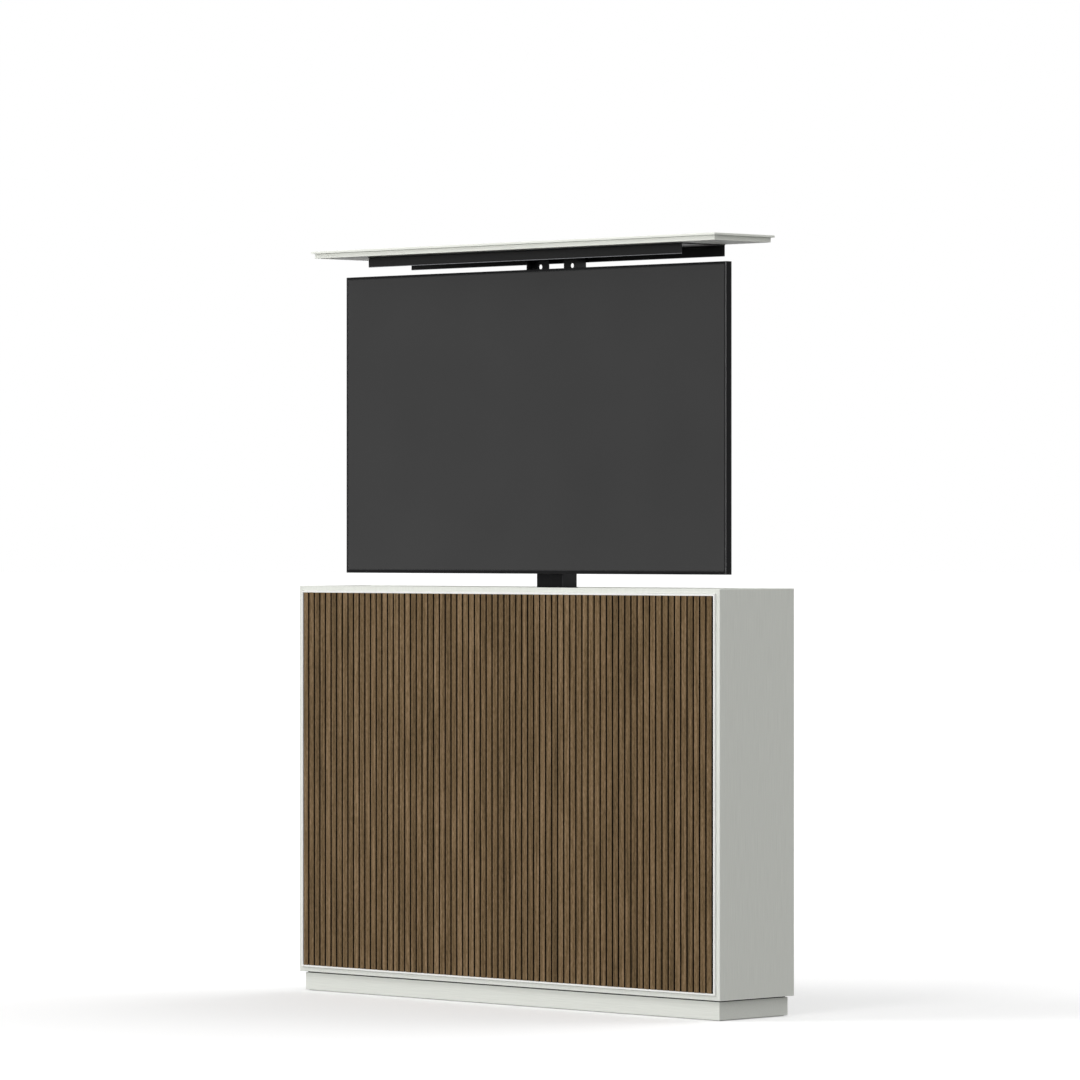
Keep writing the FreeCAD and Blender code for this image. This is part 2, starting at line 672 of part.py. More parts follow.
# ---------------------------------------------------------------------------
# Plinth and levelling feet
# ---------------------------------------------------------------------------
plinth_half = "half_width - plinth_inset"
plinth_front = "front_y + plinth_inset"
plinth_back = "back_y - plinth_inset"
plinth_rows = (0, "plinth_height")
node("plinth_front", block("plinth_front_board", both(plinth_half),
                           (plinth_front, f"{plinth_front} + plinth_board"), plinth_rows))
node("plinth_rear", block("plinth_rear_board", both(plinth_half),
                          (f"{plinth_back} - plinth_board", plinth_back), plinth_rows))
for side in ("left", "right"):
    ends = flipped((f"{plinth_half} - plinth_board", plinth_half), side)
    node(f"plinth_{side}", block(f"plinth_board_{side}", ends,
                                 (f"{plinth_front} + plinth_board",
                                  f"{plinth_back} - plinth_board"), plinth_rows))


def levelling_feet():
    """Six feet inside the plinth, each a pad on a threaded stem."""
    feet = []
    for column in (-1, 0, 1):
        for row in ("front_y + foot_edge_gap", "back_y - foot_edge_gap"):
            number = len(feet) + 1
            across = f"{column} * (half_width - foot_side_gap)"
            feet.append(fuse(
                f"foot_{number}",
                rod(f"foot_pad_{number}", (across, row, 0), "foot_pad_radius", "foot_pad_height"),
                rod(f"foot_stem_{number}", (across, row, 0), "foot_stem_radius",
                    "plinth_height")))
    return group("feet", feet)


node("levelling_feet", levelling_feet())


# ---------------------------------------------------------------------------
# Fittings in the back board
# ---------------------------------------------------------------------------
def vent_grille():
    """A grille with upright slots, its flange on the outside of the board."""
    plate = block("grille_plate", ("vent_left_x - vent_flange", "vent_right_x + vent_flange"),
                  ("panel_back_y", "panel_back_y + flange_thick"),
                  about("fitting_z", "vent_height / 2 + vent_flange"))
    plug = block("grille_plug", ("vent_left_x + screw_fit", "vent_right_x - screw_fit"),
                 ("inside_back_y", "panel_back_y"),
                 about("fitting_z", "vent_height / 2 - screw_fit"))
    count = int(value("vent_count"))
    slots = []
    for number in range(count):
        middle = f"vent_left_x + ({number} + 0.5) * vent_width / vent_count"
        slots.append(block(f"vent_slot_{number + 1}", about(middle, "vent_slot / 2"),
                           ("inside_back_y - flange_thick", "back_y"),
                           about("fitting_z", "vent_height / 2 - vent_flange")))
    return cut("grille", fuse("grille_body", plate, plug), *slots)


def cable_outlet():
    """A flanged sleeve that cables pass through."""
    foot = ("outlet_x", "inside_back_y", "fitting_z")
    sleeve = rod("outlet_sleeve", foot, "outlet_radius - screw_fit",
                 "back_board + flange_thick", "+y")
    flange = rod("outlet_flange", ("outlet_x", "panel_back_y", "fitting_z"),
                 "outlet_radius + fitting_flange", "flange_thick", "+y")
    bore = rod("outlet_bore", ("outlet_x", "inside_back_y - flange_thick", "fitting_z"),
               "outlet_radius - outlet_wall", "back_board + 4 * flange_thick", "+y")
    return cut("outlet", fuse("outlet_body", sleeve, flange), bore)


def power_inlet():
    """A recessed mains inlet with three pins."""
    face = "panel_back_y + flange_thick"
    flange = block("inlet_flange", about("inlet_x", "inlet_width / 2 + fitting_flange"),
                   ("panel_back_y", face), about("fitting_z", "inlet_height / 2 + fitting_flange"))
    shell = block("inlet_shell", about("inlet_x", "inlet_width / 2 - screw_fit"),
                  (f"{face} - inlet_depth", "panel_back_y"),
                  about("fitting_z", "inlet_height / 2 - screw_fit"))
    socket = block("inlet_socket", about("inlet_x", "inlet_socket_width / 2"),
                   (f"{face} - inlet_socket_depth", "back_y"),
                   about("fitting_z", "inlet_socket_height / 2"))
    hollow = cut("inlet_hollow", fuse("inlet_solid", flange, shell), socket)
    pins = []
    for column in (-1, 0, 1):
        middle = f"inlet_x + {column} * inlet_socket_width / 4"
        row = f"fitting_z + {1 - 2 * abs(column)} * inlet_socket_height / 8"
        pins.append(block(f"inlet_pin_{column + 2}", about(middle, "inlet_pin / 2"),
                          (f"{face} - inlet_socket_depth - inlet_pin",
                           f"{face} - inlet_socket_depth + inlet_pin_length"),
                          about(row, "inlet_pin")))
    return fuse("inlet", hollow, *pins)


cover_blank = block("hatch_cover", ("hatch_left_x - hatch_lap", "hatch_right_x + hatch_lap"),
                    ("panel_back_y", "panel_back_y + hatch_sheet"),
                    ("hatch_z - hatch_lap", "hatch_z + hatch_height + hatch_lap"))
cover_holes = screw_holes("hatch", hatch_seats, "-y", "small_screw_radius", "2 * hatch_sheet")
node("service_cover", cut("hatch_cover_drilled", cover_blank, *cover_holes))
node("service_cover_screws", screw_set("hatch_screws", hatch_seats, "-y", "small_screw_head",
                                       "small_screw_radius", "hatch_sheet + screw_bite"))
node("vent_grille", vent_grille())
node("cable_grommet", cable_outlet())
node("power_inlet", power_inlet())


# ---------------------------------------------------------------------------
# Drive at the foot of the mast
# ---------------------------------------------------------------------------
mast_foot = ("0", "mast_y")


def gearbox():
    """The gear housing, bored for the bearing and the foot of the spindle."""
    housing = block("gear_housing", ("-gearbox_left", "gearbox_right"),
                    about("mast_y", "gearbox_depth / 2"), ("gearbox_z", "outer_z"))
    seat = rod("bearing_seat", (*mast_foot, "outer_z - bearing_height"),
               "bearing_radius + bearing_fit", "bearing_height + stage_step")
    well = rod("spindle_well", (*mast_foot, "outer_z - bearing_height - spindle_foot - nut_step"),
               "lower_spindle_radius + spindle_clearance",
               "spindle_foot + nut_step + bearing_height")
    return cut("gearbox", housing, seat, well)


def ring(name, foot_z, outer_radius, spindle_radius, height):
    """A bearing ring round a spindle of the mast."""
    return cut(name, rod(name + "_body", (*mast_foot, foot_z), outer_radius, height),
               rod(name + "_bore", (*mast_foot, foot_z), f"{spindle_radius} + spindle_clearance",
                   height))


def drive_motor():
    """The motor, upright on the gearbox, with a smaller end cap."""
    axis = ("motor_offset", "mast_y")
    return fuse("motor", rod("motor_can", (*axis, "outer_z"), "motor_radius", "motor_height"),
                rod("motor_cap", (*axis, "outer_z + motor_height"), "motor_cap_radius",
                    "motor_cap_height"))


node("mast_base_plate", block("foot_plate", ("-gearbox_left - plate_border",
                                             "gearbox_right + plate_border"),
                              about("mast_y", "gearbox_depth / 2"), ("floor_z", "gearbox_z")))
node("gearbox_housing", gearbox())
node("drive_motor", drive_motor())
node("lower_bearing", ring("bearing_low", "outer_z - bearing_height", "bearing_radius",
                           "lower_spindle_radius", "bearing_height"))
node("lower_spindle", rod("spindle_low",
                          (*mast_foot, "outer_z - bearing_height - spindle_foot"),
                          "lower_spindle_radius",
                          "middle_z + lower_nut_height + spindle_overlap"
                          " - outer_z + bearing_height + spindle_foot"))

control_x = ("control_x", "control_x + control_width")
control_y = ("inside_back_y - control_gap - control_depth", "inside_back_y - control_gap")
control_shell = block("control_shell", control_x, control_y,
                      ("floor_z", "floor_z + control_height"))
control_hollow = block("control_hollow",
                       (f"{control_x[0]} + control_wall", f"{control_x[1]} - control_wall"),
                       (f"{control_y[0]} + control_wall", f"{control_y[1]} - control_wall"),
                       ("floor_z + control_wall", "floor_z + control_height"))
node("control_box", cut("control_case", control_shell, control_hollow))
node("control_box_cover", block("control_cover", control_x, control_y,
                                ("floor_z + control_height",
                                 "floor_z + control_height + control_lid")))


# ---------------------------------------------------------------------------
# Telescopic mast
# ---------------------------------------------------------------------------
def column(name, half_x, half_y, wall, foot_z, top_z):
    """A rectangular tube round the mast's axis, with rounded long edges."""
    blank = block(name + "_blank", both(half_x), about("mast_y", half_y), (foot_z, top_z))
    outside = rounded(name + "_outside", blank, "column_round",
                      lambda edge: runs_along(edge, "+z"))
    inside = block(name + "_inside", both(f"{half_x} - {wall}"),
                   about("mast_y", f"{half_y} - {wall}"), (foot_z, top_z))
    return cut(name, outside, inside)


def glides(name, half_x, half_y, side, foot_z):
    """Four pads in the gap outside (+1) or inside (-1) the face of a stage."""
    thick = "(stage_gap - glide_clearance)"
    rows = (foot_z, f"{foot_z} + glide_height")
    pads = []
    for sign in (-1, 1):
        reach_x = (f"{sign} * {half_x}", f"{sign} * ({half_x} + {side} * {thick})")
        reach_y = (f"mast_y + {sign} * {half_y}",
                   f"mast_y + {sign} * ({half_y} + {side} * {thick})")
        if sign * side < 0:
            reach_x, reach_y = reach_x[::-1], reach_y[::-1]
        number = len(pads) + 1
        pads.append(block(f"{name}_{number}", reach_x,
                          about("mast_y", f"{half_y} * glide_share"), rows))
        pads.append(block(f"{name}_{number + 1}", both(f"{half_x} * glide_share"),
                          reach_y, rows))
    return group(name, pads)


def nut_block(name, half_x, half_y, wall, foot_z, height, spindle_radius):
    """A block that fills the foot of a stage and carries the nut's thread."""
    return cut(name, block(name + "_body", both(f"{half_x} - {wall}"),
                           about("mast_y", f"{half_y} - {wall}"),
                           (foot_z, f"{foot_z} + {height}")),
               rod(name + "_thread", (*mast_foot, foot_z),
                   f"{spindle_radius} + spindle_clearance", height))


def wall_brackets():
    """Two brackets that tie the outer stage to the back board."""
    pieces = []
    for name, middle in (("upper", "upper_tie_z"), ("lower", "lower_tie_z")):
        rows = about(middle, "tie_height / 2")
        flange = block(f"{name}_tie_flange", both("tie_half_width"),
                       ("inside_back_y - tie_flange", "inside_back_y"), rows)
        web = block(f"{name}_tie_web", both("outer_half_x"),
                    ("mast_y + outer_half_y", "inside_back_y"), rows)
        hollow = block(f"{name}_tie_hollow", both("outer_half_x - tie_flange"),
                       ("mast_y + outer_half_y + tie_flange", "inside_back_y - tie_flange"),
                       rows)
        pieces.append(cut(f"{name}_tie", fuse(f"{name}_tie_body", flange, web), hollow))
    holes = screw_holes("tie", tie_seats, "+y", "small_screw_radius", "tie_flange")
    return cut("ties", group("tie_pair", pieces), *holes)


node("outer_column", column("column_outer", "outer_half_x", "outer_half_y", "outer_wall",
                            "outer_z", "outer_top_z"))
node("outer_glide_pads", glides("outer_glide", "(outer_half_x - outer_wall)",
                                "(outer_half_y - outer_wall)", -1, "outer_top_z - glide_height"))
node("column_wall_brackets", wall_brackets())
node("column_bracket_screws", screw_set("tie_screws", tie_seats, "+y", "small_screw_head",
                                        "small_screw_radius", "tie_flange + screw_bite"))

node("middle_column", column("column_middle", "middle_half_x", "middle_half_y", "middle_wall",
                             "middle_z", "middle_top_z"))
node("middle_nut_block", nut_block("nut_low", "middle_half_x", "middle_half_y", "middle_wall",
                                   "middle_z", "lower_nut_height", "lower_spindle_radius"))
node("middle_lower_glides", glides("middle_low_glide", "middle_half_x", "middle_half_y", 1,
                                   "middle_z"))
node("middle_upper_glides", glides("middle_high_glide", "(middle_half_x - middle_wall)",
                                   "(middle_half_y - middle_wall)", -1,
                                   "middle_top_z - glide_height"))
upper_bearing_z = "middle_z + lower_nut_height"
node("upper_bearing", ring("bearing_high", upper_bearing_z, "bearing_radius",
                           "upper_spindle_radius", "bearing_height"))

upper_spindle_foot = f"{upper_bearing_z} + spindle_clearance"
upper_spindle_length = f"inner_z + upper_nut_height + spindle_overrun - ({upper_spindle_foot})"
node("upper_spindle", cut("spindle_high",
                          rod("spindle_high_body", (*mast_foot, upper_spindle_foot),
                              "upper_spindle_radius", upper_spindle_length),
                          rod("spindle_high_bore", (*mast_foot, upper_spindle_foot),
                              "lower_spindle_radius + spindle_clearance", upper_spindle_length)))

node("inner_column", column("column_inner", "inner_half_x", "inner_half_y", "inner_wall",
                            "inner_z", "inner_top_z"))
node("inner_nut_block", nut_block("nut_high", "inner_half_x", "inner_half_y", "inner_wall",
                                  "inner_z", "upper_nut_height", "upper_spindle_radius"))
node("inner_glides", glides("inner_low_glide", "inner_half_x", "inner_half_y", 1, "inner_z"))

# ---------------------------------------------------------------------------
# Television mount
# ---------------------------------------------------------------------------
tv_seats = [(f"{side} * mount_width / 2", "rail_front_y", f"screen_z + {rise} * mount_height / 2")
            for side in (-1, 1) for rise in (-1, 1)]
tv_holes = screw_holes("tv", tv_seats, "-y", "tv_screw_radius",
                       "bracket_depth + tv_screw_grip + screw_fit")

node("column_head_plate", block("head", both("head_half_width"),
                                ("hanger_front_y", "mast_y + inner_half_y"),
                                ("inner_top_z", "head_top_z")))
node("carriage_hanger_plate", block("hanger", both("hanger_half_width"),
                                    ("hanger_front_y", "hanger_back_y"),
                                    ("screen_z - hanger_tail", "inner_top_z")))


def cross_rails():
    """Two hollow rails across the hanger plate."""
    rails = []
    for name, rise in (("upper", 1), ("lower", -1)):
        middle = f"screen_z + {rise} * rail_rise"
        solid = block(f"{name}_rail", both("rail_length / 2"), ("rail_front_y", "hanger_front_y"),
                      about(middle, "rail_height / 2"))
        bore = block(f"{name}_rail_bore", both("rail_length / 2"),
                     ("rail_front_y + rail_wall", "hanger_front_y - rail_wall"),
                     about(middle, "rail_height / 2 - rail_wall"))
        rails.append(cut(f"{name}_rail_tube", solid, bore))
    return group("rails", rails)


def tv_bracket(side):
    """An upright bracket between the television's back and the cross rails."""
    plate = block(f"bracket_{side}_blank",
                  flipped(about("mount_width / 2", "bracket_width / 2"), side),
                  ("housing_back_y", "rail_front_y"), about("screen_z", "bracket_length / 2"))
    return cut(f"bracket_{side}", plate, *tv_holes)


node("mount_cross_rails", cross_rails())
for side in ("left", "right"):
    node(f"tv_bracket_{side}", tv_bracket(side))
node("tv_mount_screws", screw_set("tv_screws", tv_seats, "-y", "tv_screw_head",
                                  "tv_screw_radius", "bracket_depth + tv_screw_grip"))


# ---------------------------------------------------------------------------
# Television
# ---------------------------------------------------------------------------
def tv_frame():
    """The frame round the screen, open through its depth."""
    body = board("tv_bezel", "XZ_Plane", both("tv_width / 2"),
                 ("tv_front_y", "tv_back_y - tv_back_sheet"), ("tv_z", "tv_top_z"),
                 pockets=[(both("screen_half"), ("tv_z + bezel_bottom", "tv_top_z - bezel_side"),
                           None)])
    box = body.Tip.Shape.BoundBox
    sides = ("XMin", "XMax", "ZMin", "ZMax")
    ease(body, "tv_round", lambda edge: any(lies_at(edge, box, "YMin", side) for side in sides))
    return body


def tv_housing():
    """The raised housing on the back, with chamfered rear edges."""
    rows = ("tv_z + housing_rise", "tv_z + housing_rise + housing_height")
    blank = block("housing_blank", both("housing_width / 2"), ("tv_back_y", "housing_back_y"), rows)
    doc.recompute()
    box = blank.Shape.BoundBox
    shaped = rounded("housing_shaped", blank, "housing_chamfer",
                     lambda edge: lies_at(edge, box, "YMax"), kind="Part::Chamfer")
    return cut("housing", shaped, *tv_holes)


panel_x = both("screen_half - screen_fit")
panel_z = ("tv_z + bezel_bottom + screen_fit", "tv_top_z - bezel_side - screen_fit")
panel_back = "tv_front_y + screen_recess + screen_thick"
node("tv_frame", tv_frame())
node("tv_screen_panel", block("screen", panel_x, ("tv_front_y + screen_recess", panel_back),
                              panel_z))
node("tv_backlight_unit", block("backlight", panel_x, (panel_back, "tv_back_y - tv_back_sheet"),
                                panel_z))
node("tv_rear_cover", block("tv_back", both("tv_width / 2"),
                            ("tv_back_y - tv_back_sheet", "tv_back_y"), ("tv_z", "tv_top_z")))
node("tv_electronics_housing", tv_housing())

# ---------------------------------------------------------------------------
# Lid with its carrier and arms
# ---------------------------------------------------------------------------
arm_y = ("mast_y - arm_front", "mast_y + arm_back")
lid_seats = [(f"{side} * ({share} * arm_inner + (1 - {share}) * arm_outer)",
              "mast_y + arm_back / 2", "carrier_under_z - arm_sheet")
             for side in (-1, 1) for share in (0.3, 0.7)]
lid_screw_length = "arm_sheet + carrier_sheet + screw_bite"
lid_holes = screw_holes("lid", lid_seats, "+z", "small_screw_radius",
                        f"{lid_screw_length} + screw_fit")


def lid_arm(side):
    """A bent sheet arm: foot, outer web, front sheet with a hole, and top flange."""
    reach = flipped(("arm_inner", "arm_outer"), side)
    web_x = flipped(("arm_outer - arm_sheet", "arm_outer"), side)
    rows = ("head_top_z", "carrier_under_z")
    middle = f"{-1 if side == 'left' else 1} * (arm_inner + arm_outer) / 2"
    body = fuse(f"arm_{side}_body",
                block(f"arm_{side}_foot", reach, arm_y, ("head_top_z", "head_top_z + arm_sheet")),
                block(f"arm_{side}_web", web_x, arm_y, rows),
                block(f"arm_{side}_face", reach, ("mast_y - arm_face",
                                                  "mast_y - arm_face + arm_sheet"), rows),
                block(f"arm_{side}_flange", reach, arm_y,
                      ("carrier_under_z - arm_sheet", "carrier_under_z")))
    hole = rod(f"arm_{side}_hole", (middle, "mast_y - arm_front", "carrier_under_z - arm_hole_drop"),
               "arm_hole_radius", "arm_front + arm_back", "+y")
    return cut(f"arm_{side}", body, hole, *lid_holes)


def lid_lip():
    """The lid's upper board, whose lip covers the rim of the opening."""
    body = board("lid_lip", "XY_Plane", both("opening_half + lid_overlap"),
                 ("inside_front_y - lid_overlap", "opening_back_y + lid_overlap"),
                 ("lid_z", "lid_z + lid_lip"))
    box = body.Tip.Shape.BoundBox
    ease(body, "lid_round", lambda edge: lies_at(edge, box, "ZMax"))
    return body


for side in ("left", "right"):
    node(f"lid_arm_{side}", lid_arm(side))

# The carrier is a plate with a flange welded under its front and rear edge, open at
# both ends and below. The rear flange is a little deeper.
carrier_y = ("inside_front_y + carrier_front_gap", "opening_back_y - carrier_rear_gap")
carrier_plate = block("carrier_blank", both("carrier_width / 2"), carrier_y,
                      ("carrier_under_z", "carrier_top_z"))
node("lid_carrier_plate", cut("carrier_drilled", carrier_plate, *lid_holes))
node("lid_carrier_flanges", group("carrier_flanges", [
    block("carrier_front", both("carrier_width / 2"),
          (carrier_y[0], f"{carrier_y[0]} + carrier_sheet"), ("carrier_z", "carrier_under_z")),
    block("carrier_rear", both("carrier_width / 2"),
          (f"{carrier_y[1]} - carrier_sheet", carrier_y[1]),
          ("carrier_z - carrier_rear_drop", "carrier_under_z"))]))
node("lid_arm_screws", screw_set("lid_screws", lid_seats, "+z", "small_screw_head",
                                 "small_screw_radius", lid_screw_length))
lid_blank = block("lid_lower", both("opening_half - lid_clearance"),
                  ("inside_front_y + lid_clearance", "opening_back_y - lid_clearance"),
                  ("carrier_top_z", "lid_z"))
node("lid_base_board", cut("lid_lower_drilled", lid_blank, *lid_holes))
node("lid_top_board", lid_lip())

# ---------------------------------------------------------------------------
# Check and write
# ---------------------------------------------------------------------------
doc.recompute()
for item in doc.Objects:
    if {"Invalid", "Error"} & set(item.State):
        raise RuntimeError(f"{item.Label} failed: {item.State}")
for item in nodes:
    if item.Shape.isNull() or not item.Shape.isValid():
        raise RuntimeError(f"{item.Label} has no valid shape")

os.makedirs("parts", exist_ok=True)
for item in nodes:
    item.Shape.exportStep(f"parts/{item.Label}.step")
    print(f"{item.Label}: {len(item.Shape.Solids)} solids, {item.Shape.Volume / 1000:.1f} cm3")
print(f"{len(nodes)} sub-parts")
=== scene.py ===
# %% [markdown]
# # A cabinet whose television rises out of its top
# A shallow lacquered cabinet with a slatted wooden front. A motor inside it lifts a flat
# television on a telescopic mast, and the lid of the cabinet rides up on the same mast.
# The solid model comes in first as a fixed frame. Every piece made here keeps its place.

# %% Load the frame
import bmesh
import bpy
import json
import math
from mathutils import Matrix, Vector


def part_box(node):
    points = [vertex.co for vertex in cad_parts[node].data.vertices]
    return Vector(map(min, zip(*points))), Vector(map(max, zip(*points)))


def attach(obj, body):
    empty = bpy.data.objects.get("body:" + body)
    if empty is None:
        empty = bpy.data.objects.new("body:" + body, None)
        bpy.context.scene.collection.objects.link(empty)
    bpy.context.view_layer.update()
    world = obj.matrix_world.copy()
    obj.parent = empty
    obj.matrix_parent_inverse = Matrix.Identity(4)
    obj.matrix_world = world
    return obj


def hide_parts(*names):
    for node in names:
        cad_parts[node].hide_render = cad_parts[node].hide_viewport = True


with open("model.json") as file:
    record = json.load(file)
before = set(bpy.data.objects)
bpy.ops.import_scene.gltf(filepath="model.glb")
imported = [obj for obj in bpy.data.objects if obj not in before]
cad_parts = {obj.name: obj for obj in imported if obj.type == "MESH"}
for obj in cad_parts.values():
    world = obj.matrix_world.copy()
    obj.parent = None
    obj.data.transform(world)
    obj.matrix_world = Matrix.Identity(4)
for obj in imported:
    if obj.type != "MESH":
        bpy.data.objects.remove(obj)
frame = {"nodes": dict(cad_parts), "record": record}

MM = 0.001
scene = bpy.context.scene
scene.view_settings.view_transform = "Standard"
record = frame["record"]
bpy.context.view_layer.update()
body_of = {node: body for body, nodes in record["behaviour"]["bodies"].items() for node in nodes}

# %% [markdown]
# ## Camera
# Furniture is often shown through a long lens from far away. A wide lens close by would
# swell the corner that points at it. So this camera stands 14 m off the front right
# corner, and it looks level, which keeps upright edges upright and parallel.

# %% Camera
LENS_MM, SENSOR_MM = 205.73, 36
CAMERA_PLACE = (10.0317, -10.0291, 1.063)
CAMERA_TURN = 45
FARTHEST = 200

lens = bpy.data.cameras.new("camera")
lens.sensor_width = SENSOR_MM
lens.lens = LENS_MM
lens.clip_end = FARTHEST
scene.camera = bpy.data.objects.new("camera", lens)
scene.camera.location = CAMERA_PLACE
scene.camera.rotation_euler = (math.radians(90), 0, math.radians(CAMERA_TURN))
scene.collection.objects.link(scene.camera)
print("camera", [round(place, 2) for place in CAMERA_PLACE])

# %% [markdown]
# ## Two helpers for nodes, one for colours
# Materials and Geometry Nodes are both built from nodes. By hand each is placed and wired
# in an editor. Here one helper adds a node and links or fills its inputs, so that a tree
# reads as a short list. A second one tells the rays that look from the rays that light.
# Colours are written as sRGB hex values, and shaders want linear ones.

# %% Helpers for nodes and colours
def add(tree, kind, inputs=None, **settings):
    """Add a node; inputs gives a value or another node's output for each socket."""
    node = tree.nodes.new(kind)
    for name, setting in settings.items():
        setattr(node, name, setting)
    for socket, source in (inputs or {}).items():
        if isinstance(source, bpy.types.NodeSocket):
            tree.links.new(source, node.inputs[socket])
        else:
            node.inputs[socket].default_value = source
    return node


def looking(tree):
    """One for the rays of the camera and of reflections, zero for rays that light."""
    rays = add(tree, "ShaderNodeLightPath").outputs
    seen = rays["Is Camera Ray"]
    for kind in ("Is Glossy Ray", "Is Transmission Ray"):
        seen = add(tree, "ShaderNodeMath", {0: seen, 1: rays[kind]},
                   operation="MAXIMUM").outputs[0]
    return seen


def linear(code):
    """An sRGB hex colour as linear red, green, blue and alpha."""
    levels = [int(code[start:start + 2], 16) / 255 for start in (1, 3, 5)]
    return [level / 12.92 if level <= 0.04045 else ((level + 0.055) / 1.055) ** 2.4
            for level in levels] + [1.0]


# %% [markdown]
# ## Studio light
# Furniture is lit softly, so that each face has one even tone. Lamps close to it would
# fade along its length, so a pale room gives most of the light, and distant lamps, which
# light every spot alike, shape it. One low in front gives the front more light than the
# right side. Two weaker ones hang high, off the left corner and behind: they keep the
# back readable, and their shadows are short and darkest at the plinth. A small one off
# the front right corner is there for the glints along upright edges. What the camera and
# reflections see of the room is plain white.

# %% Studio light
AMBIENT = 0.6
# The strength of each lamp, its spread in degrees, and the way from the cabinet to it.
LAMPS = {"low_front_lamp": (1.55, 24, (0.15, -0.98, 0.1)),
         "high_left_lamp": (0.75, 26, (-0.5, -0.5, 0.71)),
         "high_back_lamp": (0.66, 40, (0.15, 0.56, 0.81)),
         "edge_lamp": (0.48, 12, (0.72, -0.69, 0.06))}

world = bpy.data.worlds.new("pale room")
world.use_nodes = True
scene.world = world
room = world.node_tree
level = add(room, "ShaderNodeMapRange", {"Value": looking(room), "To Min": AMBIENT,
                                         "To Max": 1.0})
backdrop = room.nodes["Background"]
backdrop.inputs["Color"].default_value = linear("#FFFFFF")
room.links.new(level.outputs["Result"], backdrop.inputs["Strength"])

for name, (strength, spread, towards) in LAMPS.items():
    lamp = bpy.data.lights.new(name, "SUN")
    lamp.energy = strength
    lamp.angle = math.radians(spread)
    holder = bpy.data.objects.new(name, lamp)
    holder.rotation_euler = Vector(towards).to_track_quat("Z", "Y").to_euler()
    scene.collection.objects.link(holder)
    print(name, strength, "from", towards)

# %% [markdown]
# ## Floor
# The cabinet stands on a sweep of white paper. Paper as bright as it looks would throw
# light up under the lid. So the floor has two tones: for the camera and reflections it is
# nearly white, with a faint glow, and for the light that leaves it, it is dark grey. One
# square is enough. It is far wider than the picture, and lies 0.2 mm under the feet, so
# that no two faces share a plane.

# %% Floor
FLOOR_HALF, FLOOR_Z = 150.0, -0.0002
FLOOR_LIGHTING, FLOOR_SHOWN, FLOOR_GLOW = "#343434", "#FBFBFB", 0.15

floor_mesh = bpy.data.meshes.new("floor")
corners = [(side_x * FLOOR_HALF, side_y * FLOOR_HALF, FLOOR_Z)
           for side_x, side_y in ((-1, -1), (1, -1), (1, 1), (-1, 1))]
floor_mesh.from_pydata(corners, [], [(0, 1, 2, 3)])
floor = bpy.data.objects.new("floor", floor_mesh)
scene.collection.objects.link(floor)

paper = bpy.data.materials.new("white studio floor")
paper.use_nodes = True
tree = paper.node_tree
tree.nodes.remove(tree.nodes["Principled BSDF"])
seen = looking(tree)
tone = add(tree, "ShaderNodeMix", {0: seen, 6: linear(FLOOR_LIGHTING), 7: linear(FLOOR_SHOWN)},
           data_type="RGBA").outputs[2]
matte = add(tree, "ShaderNodeBsdfDiffuse", {"Color": tone})
lift = add(tree, "ShaderNodeMath", {0: seen, 1: FLOOR_GLOW}, operation="MULTIPLY").outputs[0]
glow = add(tree, "ShaderNodeEmission", {"Strength": lift})
both = add(tree, "ShaderNodeAddShader", {0: matte.outputs[0], 1: glow.outputs[0]})
tree.links.new(both.outputs[0], tree.nodes["Material Output"].inputs["Surface"])
floor_mesh.materials.append(paper)
print("floor", 2 * FLOOR_HALF, "m wide")

# %% [markdown]
# ## How a finish is put together
# No real surface is one even colour. An image wrapped round a piece could show that, but
# it stretches at edges and repeats. So each finish starts from a shader with its plain
# values, and random fields vary them. A field is sized in millimetres along each axis of
# the object, so a grain is drawn at its real size, or coarser where it would not show.

# %% Helpers for the start of a finish
def start_finish(name, colour, roughness, metallic=0.0, specular=0.5):
    """A new material with its uniform values, its node tree and its shader."""
    material = bpy.data.materials.new(name)
    material.use_nodes = True
    shader = material.node_tree.nodes["Principled BSDF"]
    plain = {"Base Color": linear(colour), "Roughness": roughness, "Metallic": metallic,
             "Specular IOR Level": specular}
    for socket, setting in plain.items():
        shader.inputs[socket].default_value = setting
    return material, material.node_tree, shader


def mottle(tree, size_mm, detail=2.0, place=None):
    """A soft random field whose spots have the given length along X, Y and Z."""
    place = place or add(tree, "ShaderNodeTexCoord").outputs["Object"]
    spots_per_metre = [1000 / length for length in size_mm]
    fitted = add(tree, "ShaderNodeMapping", {"Vector": place, "Scale": spots_per_metre})
    return add(tree, "ShaderNodeTexNoise", {"Vector": fitted.outputs["Vector"], "Scale": 1.0,
                                            "Detail": detail}).outputs["Fac"]


# %% [markdown]
# ## Colour, gloss and relief
# A field is only a number at every point. It can drive the colour, the roughness or the
# relief of a finish. They could be given a field each, but on real surfaces they mostly
# go together: a pore is darker, duller and deeper than the wood round it. So one helper
# more makes all three follow one field.

# %% Helpers for what a field drives
# Nearly all of a random field lies between these values.
FIELD_LOW, FIELD_HIGH = 0.3, 0.7


def tint(tree, shader, field, *colours):
    """Colours from low to high over the usual range of a field."""
    ramp = add(tree, "ShaderNodeValToRGB", {"Fac": field})
    stops = ramp.color_ramp.elements
    while len(stops) < len(colours):
        stops.new(0.5)
    for number, (stop, colour) in enumerate(zip(stops, colours)):
        stop.position = FIELD_LOW + (FIELD_HIGH - FIELD_LOW) * number / (len(colours) - 1)
        stop.color = linear(colour)
    tree.links.new(ramp.outputs["Color"], shader.inputs["Base Color"])


